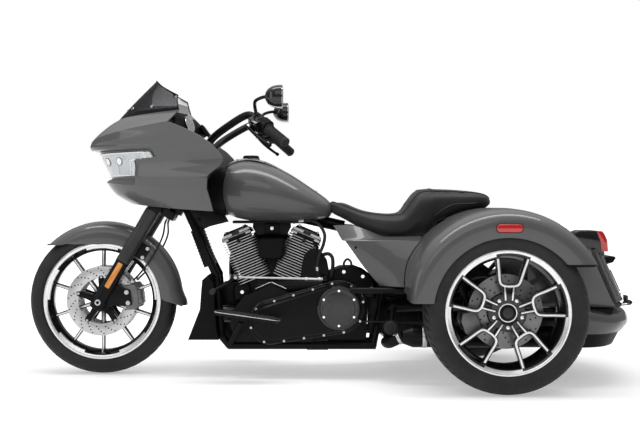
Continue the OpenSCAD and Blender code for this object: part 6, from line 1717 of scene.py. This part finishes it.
def buildExhaust(w):
    ex, px, pz, my = trike["crankX"], w["portX"], w["portZ"], w["mufflerY"]
    mx = w["mufflerX"]
    front = [(ex - px, 76, pz), (ex - px, 102, pz - 2), (ex - px - 34, 156, pz - 40), (ex - px - 46, 190, 450),
             (ex - px - 36, 196, 360), (ex - 130, 196, 276), (ex - 20, 196, 226), (ex + 190, 198, 186),
             (ex + 340, 236, 165), (ex + 460, my - 29, 163), (ex + 515, my - 7, 169), (mx + 4, my, 196)]
    rear = [(ex + px, 76, pz), (ex + px, 102, pz - 2), (ex + px + 34, 160, pz - 50), (ex + px + 44, 194, 450),
            (ex + px + 46, 197, 330), (ex + px + 46, 198, 190)]
    cross = [(ex + 448, my - 39, 163), (ex + 482, my - 95, 163), (ex + 505, 150, 163), (ex + 505, -150, 163),
             (ex + 486, 95 - my, 163), (ex + 500, 23 - my, 168), (mx + 4, -my, 196)]
    parts = []
    for path, r, n in ((front, w["pipeR"], 110), (rear, w["pipeR"] - 0.7, 50), (cross, w["pipeR"] - 0.4, 70)):
        line = smoothRows(path, n)
        parts.append(tubePart(line, r, "satinBlack", 24))
        for t in (0.04, 0.3, 0.93):
            i = int(t * n)
            parts.append(tubePart(line[i:i + 3], r + 3, "zinc", 24))
    for side in (-1, 1):
        at = lambda v, side=side: np.stack([mx + v[:, 2], side * my + v[:, 0], w["mufflerZ"] + v[:, 1]], 1)
        big, full = w["mufflerR"], w["mufflerLen"]
        parts.append(revolvePart([(0, 0), (28, 0), (30, 4), (big - 2, 36), (big, 44), (big, full - 60),
                                  (big + 1.4, full - 56), (big + 1.4, full - 48), (big - 2, full - 40),
                                  (32, full - 4), (29, full), (23, full), (22, full - 110), (0, full - 110)],
                                  "satinBlack", at, 64))
        parts.append(revolvePart([(big + 0.4, 80), (big + 2, 82), (big + 2, 96), (big + 0.4, 98)], "zinc", at, 64))
    piece("exhaust", "chassis", parts, ["exhaust"], angle=44)
    print("exhaust")


buildExhaust(exhaust)

# rider's footboards with ribbed pads, and the passenger pegs
boards = {"at": (-331.5, 310.0, 268.0), "lean": 8.0, "ribs": 11}


def buildBoards(w):
    shape = np.array([(-138, -36), (-130, -45), (-118, -50), (0, -50), (108, -50), (124, -44), (134, -30), (134, 34),
                      (126, 46), (110, 50), (0, 50), (-112, 50), (-130, 42), (-138, 26)], float)
    x, y, z = w["at"]
    parts = []
    for side, label in ((-1, "Left"), (1, "Right")):
        at = leanPlace(np.array([x, side * y, z]), w["lean"])
        parts.append(stackPart([(shape * 0.96, 0), (shape, 3), (shape, 10), (shape * 0.985, 12)], "satinBlack", at))
        parts.append(outlineRing(shape * 1.004, shape * 0.95, 9.5, 12.6, "steel", at))
        parts.append(stackPart([(shape * 0.9, 11), (shape * 0.9, 15), (shape * 0.87, 16.4)], "softRubber", at))
        rib = boxPart((-104, -38, 15.5), (-96, 38, 18.2), None)
        repeated("boardRibs" + label, "chassis", [rib], "row", {"Count": w["ribs"], "Step": (0.02, 0, 0)},
                 "softRubber", at)
        for px in (-90, 90):
            foot = at(np.array([[px, -side * 30, 2.0], [px, -side * 30, -22.0]]))
            parts.append(rodPart(foot[0], foot[1], 12, "satinBlack", 24))
        a, b = np.array([262.5, side * 226, 224]), np.array([262.5, side * 304, 224])
        parts += [tubePart([lerp(a, b, t) for t in (0, 0.04, 0.96, 1)], [22, 29, 29, 25], "softRubber", 32),
                  rodPart((276.5, side * 190.5, 300), (276.5, side * 214, 300), 16, "satinBlack", 24),
                  rodPart((276.5, side * 206, 300), (264.5, side * 240, 232), 12, "satinBlack", 20)]
        for k in range(6):
            yy = side * (236 + 11 * k)
            parts.append(rodPart((262.5, yy - 1.6, 224), (262.5, yy + 1.6, 224), 30.2, "softRubber", 32))
    piece("footRests", "chassis", parts, ["foot_rests"], bevel=0.8)
    print("foot boards")


buildBoards(boards)

# shift lever with its linkage on the left, brake pedal on the right
levers = {"y": -244.0, "rodR": 4.2, "armR": 8.0, "pegR": 12.0, "pedal": (259.5, 9.0, 16.0)}


def buildLevers(w):
    ex, y = trike["crankX"], w["y"]
    a, b = np.array([ex - 150, y, 433]), np.array([ex + 238, y, 425])
    parts = [tubePart([a, b], w["rodR"], "finEdge", 16)]
    for c, d in ((lerp(a, b, 0.02), 0.06), (lerp(a, b, 0.987), -0.06)):  # clevis and lock nut at each end
        parts += [rodPart(c - [0, 11, 0], c + [0, 10, 0], 7.5, "zinc", 24),
                  tubePart([c + d * 0.5 * (b - a), c + d * 0.62 * (b - a)], w["rodR"] + 3, "zinc", 6),
                  tubePart([c, c + d * 0.5 * (b - a)], w["rodR"] + 1.8, "satinBlack", 16)]
    arm = smoothRows([(ex - 142, y, 433), (ex - 160, y - 2, 421), (ex - 182, y - 6, 404), (ex - 210, y - 24, 390),
                      (ex - 233, y - 40, 379)], 24)
    parts.append(tubePart(arm, [lerp(w["armR"], w["armR"] - 1, t) for t in np.linspace(0, 1, 25)], "satinBlack", 16))
    peg = lambda v: np.array([ex - 233, y - 32, 377]) + np.stack([v[:, 0], -v[:, 2], v[:, 1]], 1)
    r = w["pegR"]
    outline = [(0, 0), (r - 4, 0), (r - 4, 8)]
    for k in range(5):  # grooved rubber
        z = 8 + 9.6 * k
        outline += [(r - 0.8, z), (r, z + 1.2), (r, z + 6.4), (r - 0.8, z + 7.6), (r - 3, z + 8), (r - 3, z + 9.2)]
    parts.append(revolvePart(outline + [(r - 1, 57), (r - 4, 58), (0, 58)], "softRubber", peg, 32))
    parts += [rodPart((ex + 233, y - 12, 425), (ex + 233, -70, 425), 8, "satinBlack", 24),
              rodPart((ex + 233, -70, 392.5), (ex + 233, -70, 432), 10, "satinBlack", 24)]
    side, thick, r = w["pedal"]
    shape = np.array([(ex - 150, 262), (ex - 110, 262), (ex - 120, 292), (ex - 208, 374), (ex - 240, 372),
                      (ex - 238, 352), (ex - 150, 284)])
    parts.append(extrudePart(shape, 0, thick, "satinBlack", axlePlace(0, side, 0)))
    parts.append(rodPart((ex - 224, side - 1.5, 366), (ex - 224, side + 70.5, 366), r - 2, "satinBlack", 32))
    for k in range(7):
        parts.append(rodPart((ex - 224, side + 8 + 9 * k, 366), (ex - 224, side + 13 + 9 * k, 366), r, "softRubber",
                             32))
    piece("footLevers", "chassis", parts, ["foot_levers"], bevel=0.8)
    print("foot levers")


buildLevers(levers)

# nodes that keep their own shape: node, finish, width of the softened edges
plainNodes = [
    ("frame", "satinBlack", 0), ("crankcase", "wrinkleBlack", 2.0), ("chin_fairing", "mouldedBlack", 2.0),
    ("rear_axle", "satinBlack", 1.5), ("rear_suspension", "satinBlack", 0), ("drive_belt", "softRubber", 0.6),
    ("rear_calipers", "castGrey", 1.5), ("triple_clamps", "satinBlack", 2.0), ("front_axle", "steel", 0.6),
    ("plate_bracket", "mouldedBlack", 0.8),
]
for node, material, bevel in plainNodes:
    dressed(node, material, bevel)
print("dressed nodes:", len(plainNodes))
